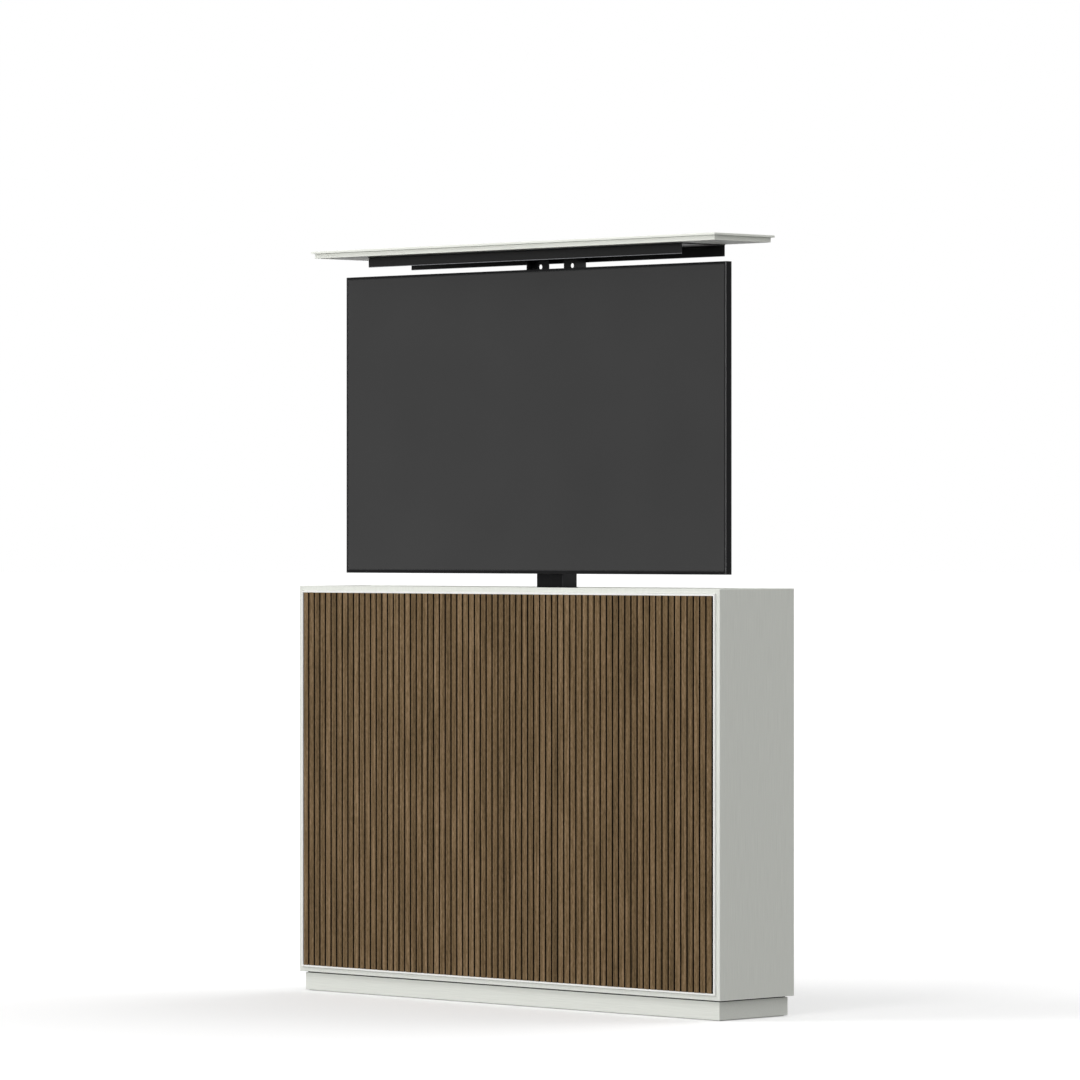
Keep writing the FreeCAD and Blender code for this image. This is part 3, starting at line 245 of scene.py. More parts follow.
def gloss(tree, shader, field, low, high):
    """Roughness that follows a field between two values."""
    span = add(tree, "ShaderNodeMapRange", {"Value": field, "From Min": FIELD_LOW,
                                            "From Max": FIELD_HIGH, "To Min": low,
                                            "To Max": high})
    tree.links.new(span.outputs["Result"], shader.inputs["Roughness"])


def relief(tree, shader, field, depth_mm):
    """Bumps that follow a field."""
    bump = add(tree, "ShaderNodeBump", {"Height": field, "Distance": depth_mm * MM})
    tree.links.new(bump.outputs["Normal"], shader.inputs["Normal"])


def grained(name, dark, light, rough, size_mm, depth_mm, detail=1, metallic=0.0, specular=0.5):
    """A finish whose colour, roughness and relief all follow one field."""
    material, tree, shader = start_finish(name, light, rough[0], metallic, specular)
    field = mottle(tree, size_mm, detail)
    tint(tree, shader, field, dark, light)
    gloss(tree, shader, field, *rough)
    relief(tree, shader, field, depth_mm)
    return material


# %% [markdown]
# ## Lacquer over wood
# The boards are veneered, and sprayed with a thin satin lacquer that lets the pores of
# the wood show as short fine lines. To the eye it is a calm grey white with a faint
# grain. Upright boards have upright grain, and lying boards have it along their length. A
# wood texture has rings, which a veneer doesn't show, and a field that is stretched along
# one axis has just such lines. Real pores are 0.2 mm wide; here they are about 1 mm, to
# show. The lid is a shade lighter than the body.

# %% Lacquered boards
PORE_MM, PORE_LENGTH_MM = 1.1, 70


def open_pore_lacquer(name, dark, light, grain_axis):
    """Satin lacquer over open-pored wood, its grain along one axis."""
    size_mm = [PORE_MM] * 3
    size_mm["XYZ".index(grain_axis)] = PORE_LENGTH_MM
    return grained(name, dark, light, rough=(0.52, 0.42), size_mm=size_mm, depth_mm=0.03,
                   detail=3, specular=0.15)


upright_lacquer = open_pore_lacquer("satin_lacquer_upright", "#E0E2DB", "#E9EBE4", "Z")
lying_lacquer = open_pore_lacquer("satin_lacquer_lying", "#E0E2DB", "#E9EBE4", "X")
lid_lacquer = open_pore_lacquer("satin_lacquer_lid", "#EEF0E8", "#F6F8F0", "X")
print("lacquers:", upright_lacquer.name, lying_lacquer.name, lid_lacquer.name)

# %% [markdown]
# ## Inside boards, backing and trim
# The inside is faced with a pale melamine film, pressed with a fine pearl grain that
# keeps it from shining. The board behind the slats has a black film of the same kind, so
# the gaps look deep. The trim that frames the slats is a white lacquered profile, smoother
# than the boards, with a slight orange peel from the spray gun: its spots are 4 mm wide.
# All three have round spots of one size, so one helper makes them. Real pearls are half a
# millimetre wide, and are drawn coarser, to show.

# %% Films and painted trim
def pearl_film(name, dark, light, pearl_mm, rough):
    """A pressed or sprayed film with a fine pearl grain."""
    return grained(name, dark, light, rough=(rough - 0.06, rough + 0.06),
                   size_mm=[pearl_mm] * 3, depth_mm=0.04)


inner_film = pearl_film("pale_melamine_film", "#BFC0BB", "#C9CAC5", 1.5, 0.5)
# The same black film also lines the plinth's groove, where it is painted shade.
black_film_and_groove_shade = pearl_film("black_melamine_film_and_groove_shade", "#0B0A08", "#12100C", 1.2, 0.7)
sprayed_white = pearl_film("sprayed_white_profile", "#F5F6F2", "#FBFBF9", 4.0, 0.4)
print("films and trim:", inner_film.name, black_film_and_groove_shade.name, sprayed_white.name)

# %% [markdown]
# ## Smoked oak veneer
# Each slat carries a thin leaf of brown oak on its face, cut and laid one by one, and
# smoked to its dark tone. To the eye no two slats are the same. One texture over the whole
# front would run on from slat to slat. So each slat has its own tone and its own figure,
# which come from a number stored on it by the node tree: it moves the slat to another
# place in the fields. Along a leaf run slow bands with short pores over them. Real pores
# are 0.3 mm wide; here they are 1.8 mm by 10 mm, to show. The sides of a slat are bare
# fibreboard, dyed black, dull and fibrous; their black is also painted shade, so that
# they vanish into the dark of the narrow gaps.

# %% Slat veneer
BANDS_MM, PORES_MM, FIBRES_MM = (6, 6, 140), (1.8, 1.8, 10), (0.8, 0.8, 0.8)
LEAF_JUMP, LEAF_TONE = (0.7, 1.3, 2.9), 0.05

slat_veneer, tree, shader = start_finish("smoked_oak_veneer", "#7A6347", 0.6, specular=0.15)
leaf = add(tree, "ShaderNodeAttribute", attribute_name="leaf").outputs["Fac"]
place = add(tree, "ShaderNodeTexCoord").outputs["Object"]
jump = add(tree, "ShaderNodeVectorMath", {0: LEAF_JUMP, "Scale": leaf}, operation="SCALE")
place = add(tree, "ShaderNodeVectorMath",
            {0: place, 1: jump.outputs["Vector"]}).outputs["Vector"]
bands = mottle(tree, BANDS_MM, detail=2, place=place)
pores = mottle(tree, PORES_MM, detail=4, place=place)
mixed = add(tree, "ShaderNodeMix", {0: 0.5, 2: bands, 3: pores}).outputs[0]
leafed = add(tree, "ShaderNodeMapRange", {"Value": leaf, "To Min": -LEAF_TONE,
                                          "To Max": LEAF_TONE}).outputs["Result"]
toned = add(tree, "ShaderNodeMath", {0: mixed, 1: leafed}, operation="ADD").outputs[0]
tint(tree, shader, toned, "#43351F", "#6C573B", "#947B5D")
gloss(tree, shader, pores, 0.68, 0.52)
relief(tree, shader, pores, 0.08)

# The black of the sides is partly dye and partly painted shade for the narrow gaps.
dyed_and_shaded_sides, tree, shader = start_finish("black_dyed_fibreboard_and_gap_shade", "#100C08", 0.85, specular=0.05)
fibres = mottle(tree, FIBRES_MM)
tint(tree, shader, fibres, "#0A0805", "#15110B")
relief(tree, shader, fibres, 0.05)
print("wood:", slat_veneer.name, dyed_and_shaded_sides.name)

# %% [markdown]
# ## Metals
# How a metal was worked shows in its marks: lines along a drawn bar, rings round a turned
# one, grains on a casting. They differ in their length along each axis, so one helper
# covers bare metal, and another the paint on it. Real marks are 0.1 mm apart or finer,
# and the pebbles of a paint half a millimetre; all are drawn coarser, to show.

# %% Metals
PEBBLE_MM = 1.4


def drawn_metal(name, dark, light, rough, size_mm, depth_mm):
    """A metal whose marks have one length along each axis, from drawing or grinding."""
    return grained(name, dark, light, rough, size_mm, depth_mm, detail=3, metallic=1.0)


def powder_coat(name, dark, light, rough, specular=0.5):
    """Baked paint with a pebbled skin."""
    return grained(name, dark, light, rough=(rough - 0.05, rough + 0.05),
                   size_mm=[PEBBLE_MM] * 3, depth_mm=0.06, specular=specular)


# The mast's columns are extruded and anodised: black, with fine lines from the die.
anodised = drawn_metal("black_anodised_aluminium", "#1F1F20", "#272728", (0.34, 0.44),
                       (0.6, 0.6, 220), 0.01)
# Plates and brackets are powder painted: black, and slightly pebbled where light grazes.
powder_black = powder_coat("black_powder_coat", "#131314", "#181819", 0.32, 0.2)
# The lid's carrier is stove enamelled: a duller black with hardly a highlight.
carrier_enamel = powder_coat("black_stoving_enamel", "#1A1A1A", "#212121", 0.4, 0.12)
# A painted highlight: bright bare metal along the flanges' lower edges stands in for a thin grey
# glint there.
painted_highlight_steel = drawn_metal("painted_highlight_steel_edge", "#7A7B7D", "#94959A", (0.3, 0.42), (8, 8, 8), 0.01)
# Zinc plating is a skin of tiny crystals: bright, but slightly cloudy.
zinc = drawn_metal("zinc_plated_steel", "#9DA0A3", "#B9BCBE", (0.28, 0.4), (2, 2, 2), 0.02)
# Spindles are ground between centres: the brightest metal here, with rings round it.
ground_steel = drawn_metal("ground_steel", "#8E9093", "#A9ABAD", (0.25, 0.35), (1, 1, 0.4), 0.01)
# Nuts and bearings are turned from bronze: warm, with the same rings.
bronze = drawn_metal("turned_bronze", "#8A6A3C", "#A5824E", (0.3, 0.42), (3, 3, 0.5), 0.01)
# The gear housing is cast in sand, and keeps its grains: pale and dull.
cast_alloy = drawn_metal("sand_cast_aluminium", "#7D7F80", "#979999", (0.5, 0.62),
                         (1.8, 1.8, 1.8), 0.15)
# The motor's enamel is sprayed on thickly: dark blue grey, with a soft shine.
motor_paint = powder_coat("dark_motor_enamel", "#23262A", "#2B2F34", 0.4)
print(len(bpy.data.materials), "materials so far")

# %% [markdown]
# ## Plastics and the screen
# Moulded parts copy the spark-eroded skin of their mould, which reads as a fine even
# grain. One helper makes them all, because they differ only in tone, gloss and grain. A
# real grain is about 0.05 mm, and the etch on the screen is finer still; both are drawn
# coarser, to show.

# %% Plastics and screen
ETCH_MM, CLOUD_MM = 2.5, 260


def moulded_plastic(name, dark, light, rough, grain_mm, specular=0.5):
    """Injection-moulded plastic with a spark-eroded grain."""
    return grained(name, dark, light, rough=(rough - 0.04, rough + 0.06),
                   size_mm=[grain_mm] * 3, depth_mm=0.03, specular=specular)


# Grilles, inlets and covers are grained ABS: a dull black.
black_plastic = moulded_plastic("black_moulded_plastic", "#121213", "#19191A", 0.55, 0.9)
# The television's frame comes from a smoother mould: black, and hardly lit at all.
frame_plastic = moulded_plastic("black_frame_plastic", "#151516", "#19191A", 0.4, 1.6, 0.06)
# Its rounded edges get a lighter, glossier copy of it: the gloss catches the lamps, and the
# lighter tone is a painted highlight; both show as thin lines.
glossy_rim_highlight = moulded_plastic("glossy_frame_rim_painted_highlight", "#1D1D1E", "#212122", 0.25, 1.6, 0.6)
# The rear cover has a coarser grain: a greyer black with no shine.
rear_plastic = moulded_plastic("black_rear_cover_plastic", "#1E1E1F", "#252526", 0.6, 1.2, 0.2)
# Glides are cut from white acetal: slightly waxy.
acetal = moulded_plastic("white_acetal", "#DADAD2", "#E4E4DC", 0.45, 2.0)
# The sheet behind the screen is pressed and painted dark grey, with broad soft marks.
inner_sheet = moulded_plastic("pressed_inner_sheet", "#3A3B3D", "#46474A", 0.5, 3.0)

# The screen is glass, etched against glare: very dark, with a soft reflection of the
# room. Its tone drifts slowly across the panel.
screen_glass, tree, shader = start_finish("etched_screen_glass", "#2C2C2C", 0.12, specular=0.3)
etch = mottle(tree, [ETCH_MM] * 3)
cloud = mottle(tree, [CLOUD_MM] * 3, detail=1)
tint(tree, shader, cloud, "#272727", "#2B2B2B")
gloss(tree, shader, etch, 0.1, 0.15)
print(len(bpy.data.materials), "materials in all")

# %% [markdown]
# ## Finish for every sub-part
# A maker lists a finish for each part, and the record does so too, by the name of a slot.
# Here each slot gets its material in one table, so that a part which is never remade
# still has its own. Lying boards get the lacquer whose grain runs along them.

# %% Give the finishes out
FINISH = {
    "lacquered_board": upright_lacquer, "inner_board": inner_film, "slat_veneer": slat_veneer,
    "black_backing": black_film_and_groove_shade, "white_trim": sprayed_white, "lid_lacquer": lid_lacquer,
    "black_carrier": carrier_enamel, "black_aluminium": anodised, "black_steel": powder_black,
    "bright_steel": zinc, "bronze": bronze, "glide_plastic": acetal,
    "black_plastic": black_plastic, "tv_inner": inner_sheet, "motor_paint": motor_paint,
    "cast_housing": cast_alloy, "tv_frame_plastic": frame_plastic, "tv_screen": screen_glass,
}
LYING = ("top_rail_front", "top_rail_rear", "plinth_front", "plinth_rear")
slot_of = {part["node"]: part["material_slot"] for part in record["subparts"]}
for node, piece in frame["nodes"].items():
    finish = lying_lacquer if node in LYING else FINISH[slot_of[node]]
    piece.data.materials.clear()
    piece.data.materials.append(finish)
print(len(FINISH), "slots given a finish")

# %% [markdown]
# ## Making pieces
# Whichever way a piece is made, it is handed over as a plain mesh. `from_form` turns a
# loose mesh into an object, `settle` turns live modifiers into its mesh, and `stand_in`
# lets the result take the place of its sub-parts.

# %% Helpers for pieces
def settle(piece):
    """Turn an object's modifiers into its plain mesh."""
    graph = bpy.context.evaluated_depsgraph_get()
    mesh = bpy.data.meshes.new_from_object(piece.evaluated_get(graph), depsgraph=graph,
                                           preserve_all_data_layers=True)
    piece.modifiers.clear()
    piece.data = mesh
    return piece


def new_piece(name, mesh=None, finish=None):
    """Link a mesh, or an empty one, to the scene as an object."""
    mesh = mesh or bpy.data.meshes.new(name)
    piece = bpy.data.objects.new(name, mesh)
    scene.collection.objects.link(piece)
    if finish:
        mesh.materials.clear()
        mesh.materials.append(finish)
    return piece


def from_form(name, form, finish=None):
    """An object from a loose mesh, which is used up."""
    mesh = bpy.data.meshes.new(name)
    form.to_mesh(mesh)
    form.free()
    return new_piece(name, mesh, finish)


def stand_in(piece, *nodes):
    """Let a finished piece stand for sub-parts and ride with their body."""
    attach(piece, body_of[nodes[0]])
    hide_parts(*nodes)
    return piece


# %% [markdown]
# ## Easing edges
# Knife-sharp edges look wrong, because real ones are broken a little and catch the light.
# Rounding them by hand would be slow. So the loose triangles of a sub-part are merged
# into flat faces, and a bevel rounds every edge between them.

# %% Helpers for eased edges
SAME_POINT, SAME_PLANE_DEGREES = 1e-6, 0.5
SHARP_DEGREES = 35
EASING_STEPS = 2


def merged(node):
    """A sub-part's solids as clean flat faces."""
    form = bmesh.new()
    form.from_mesh(frame["nodes"][node].data)
    bmesh.ops.remove_doubles(form, verts=form.verts, dist=SAME_POINT)
    bmesh.ops.dissolve_limit(form, angle_limit=math.radians(SAME_PLANE_DEGREES),
                             verts=form.verts, edges=form.edges)
    return form


def eased(node, width_mm, finish=None):
    """A sub-part with its edges rounded, in its place."""
    piece = from_form(node + "_eased", merged(node),
                      finish or frame["nodes"][node].data.materials[0])
    bevel = piece.modifiers.new("eased edges", "BEVEL")
    bevel.width = width_mm * MM
    bevel.segments = EASING_STEPS
    bevel.limit_method = "ANGLE"
    bevel.angle_limit = math.radians(SHARP_DEGREES)
    piece.modifiers.new("flat faces stay flat", "WEIGHTED_NORMAL").weight = 100
    piece.data.shade_smooth()
    return settle(piece)


# %% [markdown]
# ## Boards and plates with eased edges
# A joiner breaks the edge of a board with sandpaper, a cast housing has wide roundings
# and a bent plate has tight ones. The table gives each its own width in millimetres. What
# isn't listed keeps the edges of the solid model.

# %% Boards and plates with eased edges
EASED_MM = {
    "lid_base_board": 0.5, "lid_carrier_plate": 0.4, "top_rail_front": 0.8,
    "tv_screen_panel": 0.4, "tv_rear_cover": 0.6,
    "lid_arm_left": 0.4, "lid_arm_right": 0.4, "column_head_plate": 0.6,
    "mast_base_plate": 0.8, "gearbox_housing": 2.0, "column_wall_brackets": 0.4,
    "service_cover": 0.8, "vent_grille": 0.5, "power_inlet": 0.5, "cable_grommet": 0.8,
    "control_box": 0.6, "control_box_cover": 0.8, "outer_glide_pads": 0.6,
    "middle_upper_glides": 0.6, "middle_lower_glides": 0.6, "inner_glides": 0.6,
}
for node, width_mm in EASED_MM.items():
    piece = stand_in(eased(node, width_mm), node)
    print(node, len(piece.data.polygons), "faces")

# %% [markdown]
# ## Edges with a painted highlight
# A thin bright line runs along the lower edge of the lid carrier's flanges, where they
# meet the cabinet, and along the rounded edges of the television's frame. Both are painted
# highlights: bright bare metal on the flanges, and on the frame a lighter, glossier copy of
# its plastic, whose gloss also catches the lamps. Painting them on would need a map of the
# mesh. The way a face looks tells the same, so those faces are found by their normals.

# %% Edges with painted highlights
PAINTED_HIGHLIGHT_BELOW, ON_AXIS = -0.25, 0.97
EDGES = {"lid_carrier_flanges": (1.1, painted_highlight_steel, lambda turn: turn.z < PAINTED_HIGHLIGHT_BELOW),
         "tv_frame": (0.5, glossy_rim_highlight, lambda turn: max(map(abs, turn)) < ON_AXIS)}
for node, (width_mm, edge_highlight, is_edge) in EDGES.items():
    piece = stand_in(eased(node, width_mm), node)
    piece.data.materials.append(edge_highlight)
    # The second finish, on the edge faces, is the painted highlight.
    for face in piece.data.polygons:
        face.material_index = int(is_edge(face.normal))
    print(node, sum(face.material_index for face in piece.data.polygons), "edge faces")

# %% [markdown]
# ## A skin over rings
# Trim, plinth, screws and spindles look unlike each other, but each is a skin over a row
# of rings with the same number of points. Built-in shapes would need one recipe each. So
# one helper lays faces between neighbouring rings, in order, and either joins the last
# ring to the first or caps both ends.

# %% Helper that lays a skin
def skin(rings, closed):
    """A loose mesh over rings of points; closed joins the last ring to the first."""
    form = bmesh.new()
    rows = [[form.verts.new(point) for point in points] for points in rings]
    pairs = list(zip(rows, rows[1:])) + ([(rows[-1], rows[0])] if closed else [])
    for here, there in pairs:
        for number in range(len(here)):
            after = (number + 1) % len(here)
            form.faces.new((here[number], here[after], there[after], there[number]))
    if not closed:
        form.faces.new(list(reversed(rows[0])))
        form.faces.new(rows[-1])
    bmesh.ops.recalc_face_normals(form, faces=form.faces)
    return form


# %% [markdown]
# ## Frames with mitred corners
# The trim and the plinth are each one profile that runs round a rectangle, cut at 45
# degrees at the corners. Four boards would have to be cut and matched. Instead a helper
# carries each point of the profile's outline round as a ring of four corners. A point
# further out moves its corners out along the diagonal, and that is a mitre. A second
# helper draws a rectangular outline, with some of its corners rounded.

# %% Helpers for mitred frames
CORNER_STEPS = 3


def mitred_frame(name, half_x, low, high, outline, lie, finish):
    """Carry an outline of (outwards, along) points round a rectangle."""
    rings = []
    for outwards, along in outline:
        corners = [(side_x * (half_x + outwards), (high + outwards if up else low - outwards))
                   for side_x, up in ((-1, 0), (1, 0), (1, 1), (-1, 1))]
        rings.append([lie(across, second, along) for across, second in corners])
    return from_form(name, skin(rings, closed=True), finish)


def eased_outline(low, high, radius, eased_corners):
    """A rectangle of (outwards, along) points with some corners rounded in steps."""
    points = []
    corners = [(low[0], low[1]), (high[0], low[1]), (high[0], high[1]), (low[0], high[1])]
    inwards = [(1, 1), (-1, 1), (-1, -1), (1, -1)]
    for number, ((out, along), (step_out, step_along)) in enumerate(zip(corners, inwards)):
        if number not in eased_corners:
            points.append((out, along))
            continue
        first = math.radians(180 + 90 * number)
        for step in range(CORNER_STEPS + 1):
            turn = first + math.radians(90 / CORNER_STEPS * step)
            points.append((out + radius * (step_out + math.cos(turn)),
                           along + radius * (step_along + math.sin(turn))))
    return points


# %% [markdown]
# ## Trim round the slats
# A white strip frames the slats and stands 5 mm proud of the plain border, with its two
# front edges eased. A narrow gap on its outer side leaves a line of shadow. A painted line
# would not move with the light, so the strip has a step: down to the floor of the gap it
# is a little narrower.

# %% Trim round the slats
TRIM_GAP, TRIM_GAP_DEPTH, TRIM_EASING = 1.3 * MM, 4 * MM, 0.6 * MM
low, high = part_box("front_trim_strips")
slats_low, slats_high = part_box("slat_backing_board")
strip = high.x - slats_high.x
gap_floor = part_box("front_panel")[0].y + TRIM_GAP_DEPTH
outline = eased_outline((0, low.y), (strip - TRIM_GAP, high.y), TRIM_EASING, (0, 1))
outline[-2:-1] = [(strip - TRIM_GAP, gap_floor), (strip, gap_floor), (strip, high.y)]
trim = mitred_frame("slat_trim", slats_high.x, slats_low.z, slats_high.z, outline,
                    lambda across, up, depth: (across, depth, up), sprayed_white)
stand_in(trim, "front_trim_strips")
print("trim", round(strip / MM, 1), "mm wide")

# %% [markdown]
# ## Plinth
# The body stands on a mitred frame of boards. A thin groove parts the two, and the black
# film on its floor and back is painted shade, the shadow under the body's overhang, so
# that the body seems to float a little. A low rebate keeps the plinth's foot off an uneven
# floor. Both could be cut out later. Here they are steps in the plinth's outline, which
# keeps the corners right. Each step is four faces, so the groove's floor and back, which
# take the black film as painted shade, are found by their place in the outline.

# %% Plinth
GROOVE_DEPTH, GROOVE_HEIGHT = 4 * MM, 3.2 * MM
REBATE_DEPTH, REBATE_HEIGHT = 6 * MM, 2 * MM
PAINTED_SHADE_STEPS = (4, 5)
low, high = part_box("plinth_front")
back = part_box("plinth_rear")[1].y
thick = high.y - low.y
groove_low = high.z - GROOVE_HEIGHT
outline = [(-thick, 0), (-REBATE_DEPTH, 0), (-REBATE_DEPTH, REBATE_HEIGHT), (0, REBATE_HEIGHT),
           (0, groove_low), (-GROOVE_DEPTH, groove_low), (-GROOVE_DEPTH, high.z),
           (-thick, high.z)]
plinth = mitred_frame("plinth", high.x, low.y, back, outline,
                      lambda across, second, up: (across, second, up), lying_lacquer)
# The groove's floor and back get the black film as painted shade, the shadow under the body.
plinth.data.materials.append(black_film_and_groove_shade)
for face in plinth.data.polygons:
    face.material_index = int(face.index // 4 in PAINTED_SHADE_STEPS)
stand_in(plinth, "plinth_front", "plinth_rear", "plinth_left", "plinth_right")
print("plinth board", round(thick / MM, 1), "mm thick")

# %% [markdown]
# ## Trees of Geometry Nodes
# Slats, ribs, slots and screws are equal parts in rows or on seats. A tree of nodes is a
# recipe for such a set, with named inputs, so one tree serves many pieces. It runs once
# and its result is kept.

# %% Helpers for node trees
def start_tree(name, sockets):
    """A Geometry Nodes tree with named inputs; gives the tree and its input sockets."""
    tree = bpy.data.node_groups.new(name, "GeometryNodeTree")
    for label, kind in {"Geometry": "Geometry", **sockets}.items():
        tree.interface.new_socket(label, in_out="INPUT", socket_type="NodeSocket" + kind)
    tree.interface.new_socket("Geometry", in_out="OUTPUT", socket_type="NodeSocketGeometry")
    return tree, add(tree, "NodeGroupInput").outputs


def run_tree(piece, tree, values):
    """Run a tree on a piece with the given inputs, and keep the result as a plain mesh."""
    modifier = piece.modifiers.new("nodes", "NODES")
    modifier.node_group = tree
    for item in tree.interface.items_tree:
        if item.in_out == "INPUT" and item.name in values:
            modifier[item.identifier] = values[item.name]
    return settle(piece)


def end_tree(tree, geometry, finish):
    """Make a tree's instances real, and give them a finish as its result."""
    solid = add(tree, "GeometryNodeRealizeInstances", {"Geometry": geometry}).outputs["Geometry"]
    solid = add(tree, "GeometryNodeSetMaterial", {"Geometry": solid, "Material": finish})
    add(tree, "NodeGroupOutput", {"Geometry": solid.outputs["Geometry"]})
    print(tree.name, "-", len(tree.nodes), "nodes")


# %% [markdown]
# ## Upright bars in a row
# The front of the cabinet is a row of equal slats, and so are the ribs in the back of the
# television. An array would make them all alike. This tree carries a rounded rectangle up
# a line, sets it out along X, and stores a random number on each bar, which the veneer
# reads as its leaf. The front faces get one finish and the rest another.

# %% Node tree for a row of bars
FACING_AT_LEAST = 0.5
bars, given = start_tree("row of bars", {
    "First": "Vector", "Step": "Vector", "Count": "Int", "Width": "Float", "Depth": "Float",
    "Height": "Float", "Rounding": "Float", "Seed": "Int", "Facing": "Vector",
    "Face": "Material", "Sides": "Material"})
outline = add(bars, "GeometryNodeCurvePrimitiveQuadrilateral",
              {"Width": given["Width"], "Height": given["Depth"]}).outputs["Curve"]
outline = add(bars, "GeometryNodeFilletCurve", {
    "Curve": outline, "Radius": given["Rounding"], "Count": EASING_STEPS},
    mode="POLY").outputs["Curve"]
top = add(bars, "ShaderNodeCombineXYZ", {"Z": given["Height"]}).outputs["Vector"]
rise = add(bars, "GeometryNodeCurvePrimitiveLine", {"End": top}).outputs["Curve"]
bar = add(bars, "GeometryNodeCurveToMesh", {"Curve": rise, "Profile Curve": outline,
                                            "Fill Caps": True}).outputs["Mesh"]
feet = add(bars, "GeometryNodeMeshLine", {"Count": given["Count"],
                                          "Start Location": given["First"],
                                          "Offset": given["Step"]}).outputs["Mesh"]
row = add(bars, "GeometryNodeInstanceOnPoints", {"Points": feet, "Instance": bar})
chance = add(bars, "FunctionNodeRandomValue", {"Seed": given["Seed"]}, data_type="FLOAT")
row = add(bars, "GeometryNodeStoreNamedAttribute", {
    "Geometry": row.outputs["Instances"], "Name": "leaf", "Value": chance.outputs[1]},
    data_type="FLOAT", domain="INSTANCE").outputs["Geometry"]
solid = add(bars, "GeometryNodeRealizeInstances", {"Geometry": row}).outputs["Geometry"]
solid = add(bars, "GeometryNodeSetMaterial", {"Geometry": solid, "Material": given["Sides"]})
normal = add(bars, "GeometryNodeInputNormal").outputs["Normal"]
facing = add(bars, "ShaderNodeVectorMath", {0: normal, 1: given["Facing"]},
             operation="DOT_PRODUCT").outputs["Value"]
front = add(bars, "FunctionNodeCompare", {"A": facing, "B": FACING_AT_LEAST},
            operation="GREATER_THAN").outputs["Result"]
solid = add(bars, "GeometryNodeSetMaterial", {"Geometry": solid.outputs["Geometry"],
                                              "Selection": front, "Material": given["Face"]})
add(bars, "NodeGroupOutput", {"Geometry": solid.outputs["Geometry"]})
print(bars.name, "-", len(bars.nodes), "nodes")

# %% [markdown]
# ## Slatted front
# Sixty-nine strips of black dyed fibreboard, veneered on their face, are glued to the
# backing board; the black of their sides is also painted shade for the gaps. The gaps
# between them show the black behind. The row fills the box of the solid slats exactly, so
# the width of a slat follows from their number and the gap.

# %% Slatted front
SLATS, GAP = 69, 4.2 * MM
SLAT_ROUNDING, SLAT_SEED = 0.7 * MM, 7
low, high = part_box("front_slats")
pitch = (high.x - low.x + GAP) / SLATS
values = {
    "First": (low.x + (pitch - GAP) / 2, (low.y + high.y) / 2, low.z),
    "Step": (pitch, 0, 0), "Count": SLATS, "Width": pitch - GAP, "Depth": high.y - low.y,
    "Height": high.z - low.z, "Rounding": SLAT_ROUNDING, "Seed": SLAT_SEED,
    "Facing": (0, -1, 0), "Face": slat_veneer, "Sides": dyed_and_shaded_sides}
slats = stand_in(run_tree(new_piece("veneered_slats"), bars, values), "front_slats")
print("slats:", SLATS, "at", round(pitch / MM, 2), "mm;", len(slats.data.polygons), "faces")

# %% [markdown]
# ## Cutting boxes out
# A moulded housing has fields sunk into it. They could be modelled face by face. A
# boolean with boxes does it in one step, whatever the edges of the housing look like, and
# the cutter goes again afterwards.

# %% Helper that cuts boxes out
def carve(piece, boxes):
    """Cut boxes, each a low and a high corner, out of a piece."""
    form = bmesh.new()
    for low, high in boxes:
        cube = bmesh.ops.create_cube(form, size=1.0)["verts"]
        bmesh.ops.scale(form, vec=[b - a for a, b in zip(low, high)], verts=cube)
        bmesh.ops.translate(form, vec=[(a + b) / 2 for a, b in zip(low, high)], verts=cube)
    cutter = from_form("cutter", form)
    boolean = piece.modifiers.new("carved", "BOOLEAN")
    boolean.object = cutter
    boolean.solver = "EXACT"
    settle(piece)
    bpy.data.objects.remove(cutter)
    return piece


# %% [markdown]
# ## Back of the television
# The electronics sit in a moulded housing on the back. It has cooling slots at the top, a
# row of slots for the speakers at the bottom, and a sunk bay with sockets. Cutting every
# slot by itself would be slow and fragile. So each field is cut out as one box, and gets
# its ribs in the next step.

# %% Housing with its sunk fields
# Left, right, bottom and top of each sunk field, in mm from the housing's foot.
VENT_FIELDS = [(-400, -240, 390, 450), (240, 400, 390, 450), (-380, 380, 22, 52)]
BAY = (250, 400, 170, 270)
FIELD_DEPTH, BAY_DEPTH = 3 * MM, 8 * MM
housing_low, housing_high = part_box("tv_electronics_housing")
back_y = housing_high.y


def on_housing(left, right, bottom, top, depth):
    """The corners of a field of that depth in the housing's back, sized in mm."""
    base = housing_low.z
    return ((left * MM, back_y - depth, base + bottom * MM),
            (right * MM, back_y + depth, base + top * MM))


fields = [on_housing(*field, FIELD_DEPTH) for field in VENT_FIELDS]
bay = on_housing(*BAY, BAY_DEPTH)
housing = carve(eased("tv_electronics_housing", 1.0, rear_plastic), fields + [bay])
stand_in(housing, "tv_electronics_housing")
print("housing with", len(housing.data.polygons), "faces")

# %% [markdown]
# ## Ribs in the vents
# What is left between cooling slots is a row of ribs, and a rib is a short slat. So the
# tree that makes the slatted front makes them too. They stand on the floor of their field
# and stop a little short of its rim, as moulded ribs do.

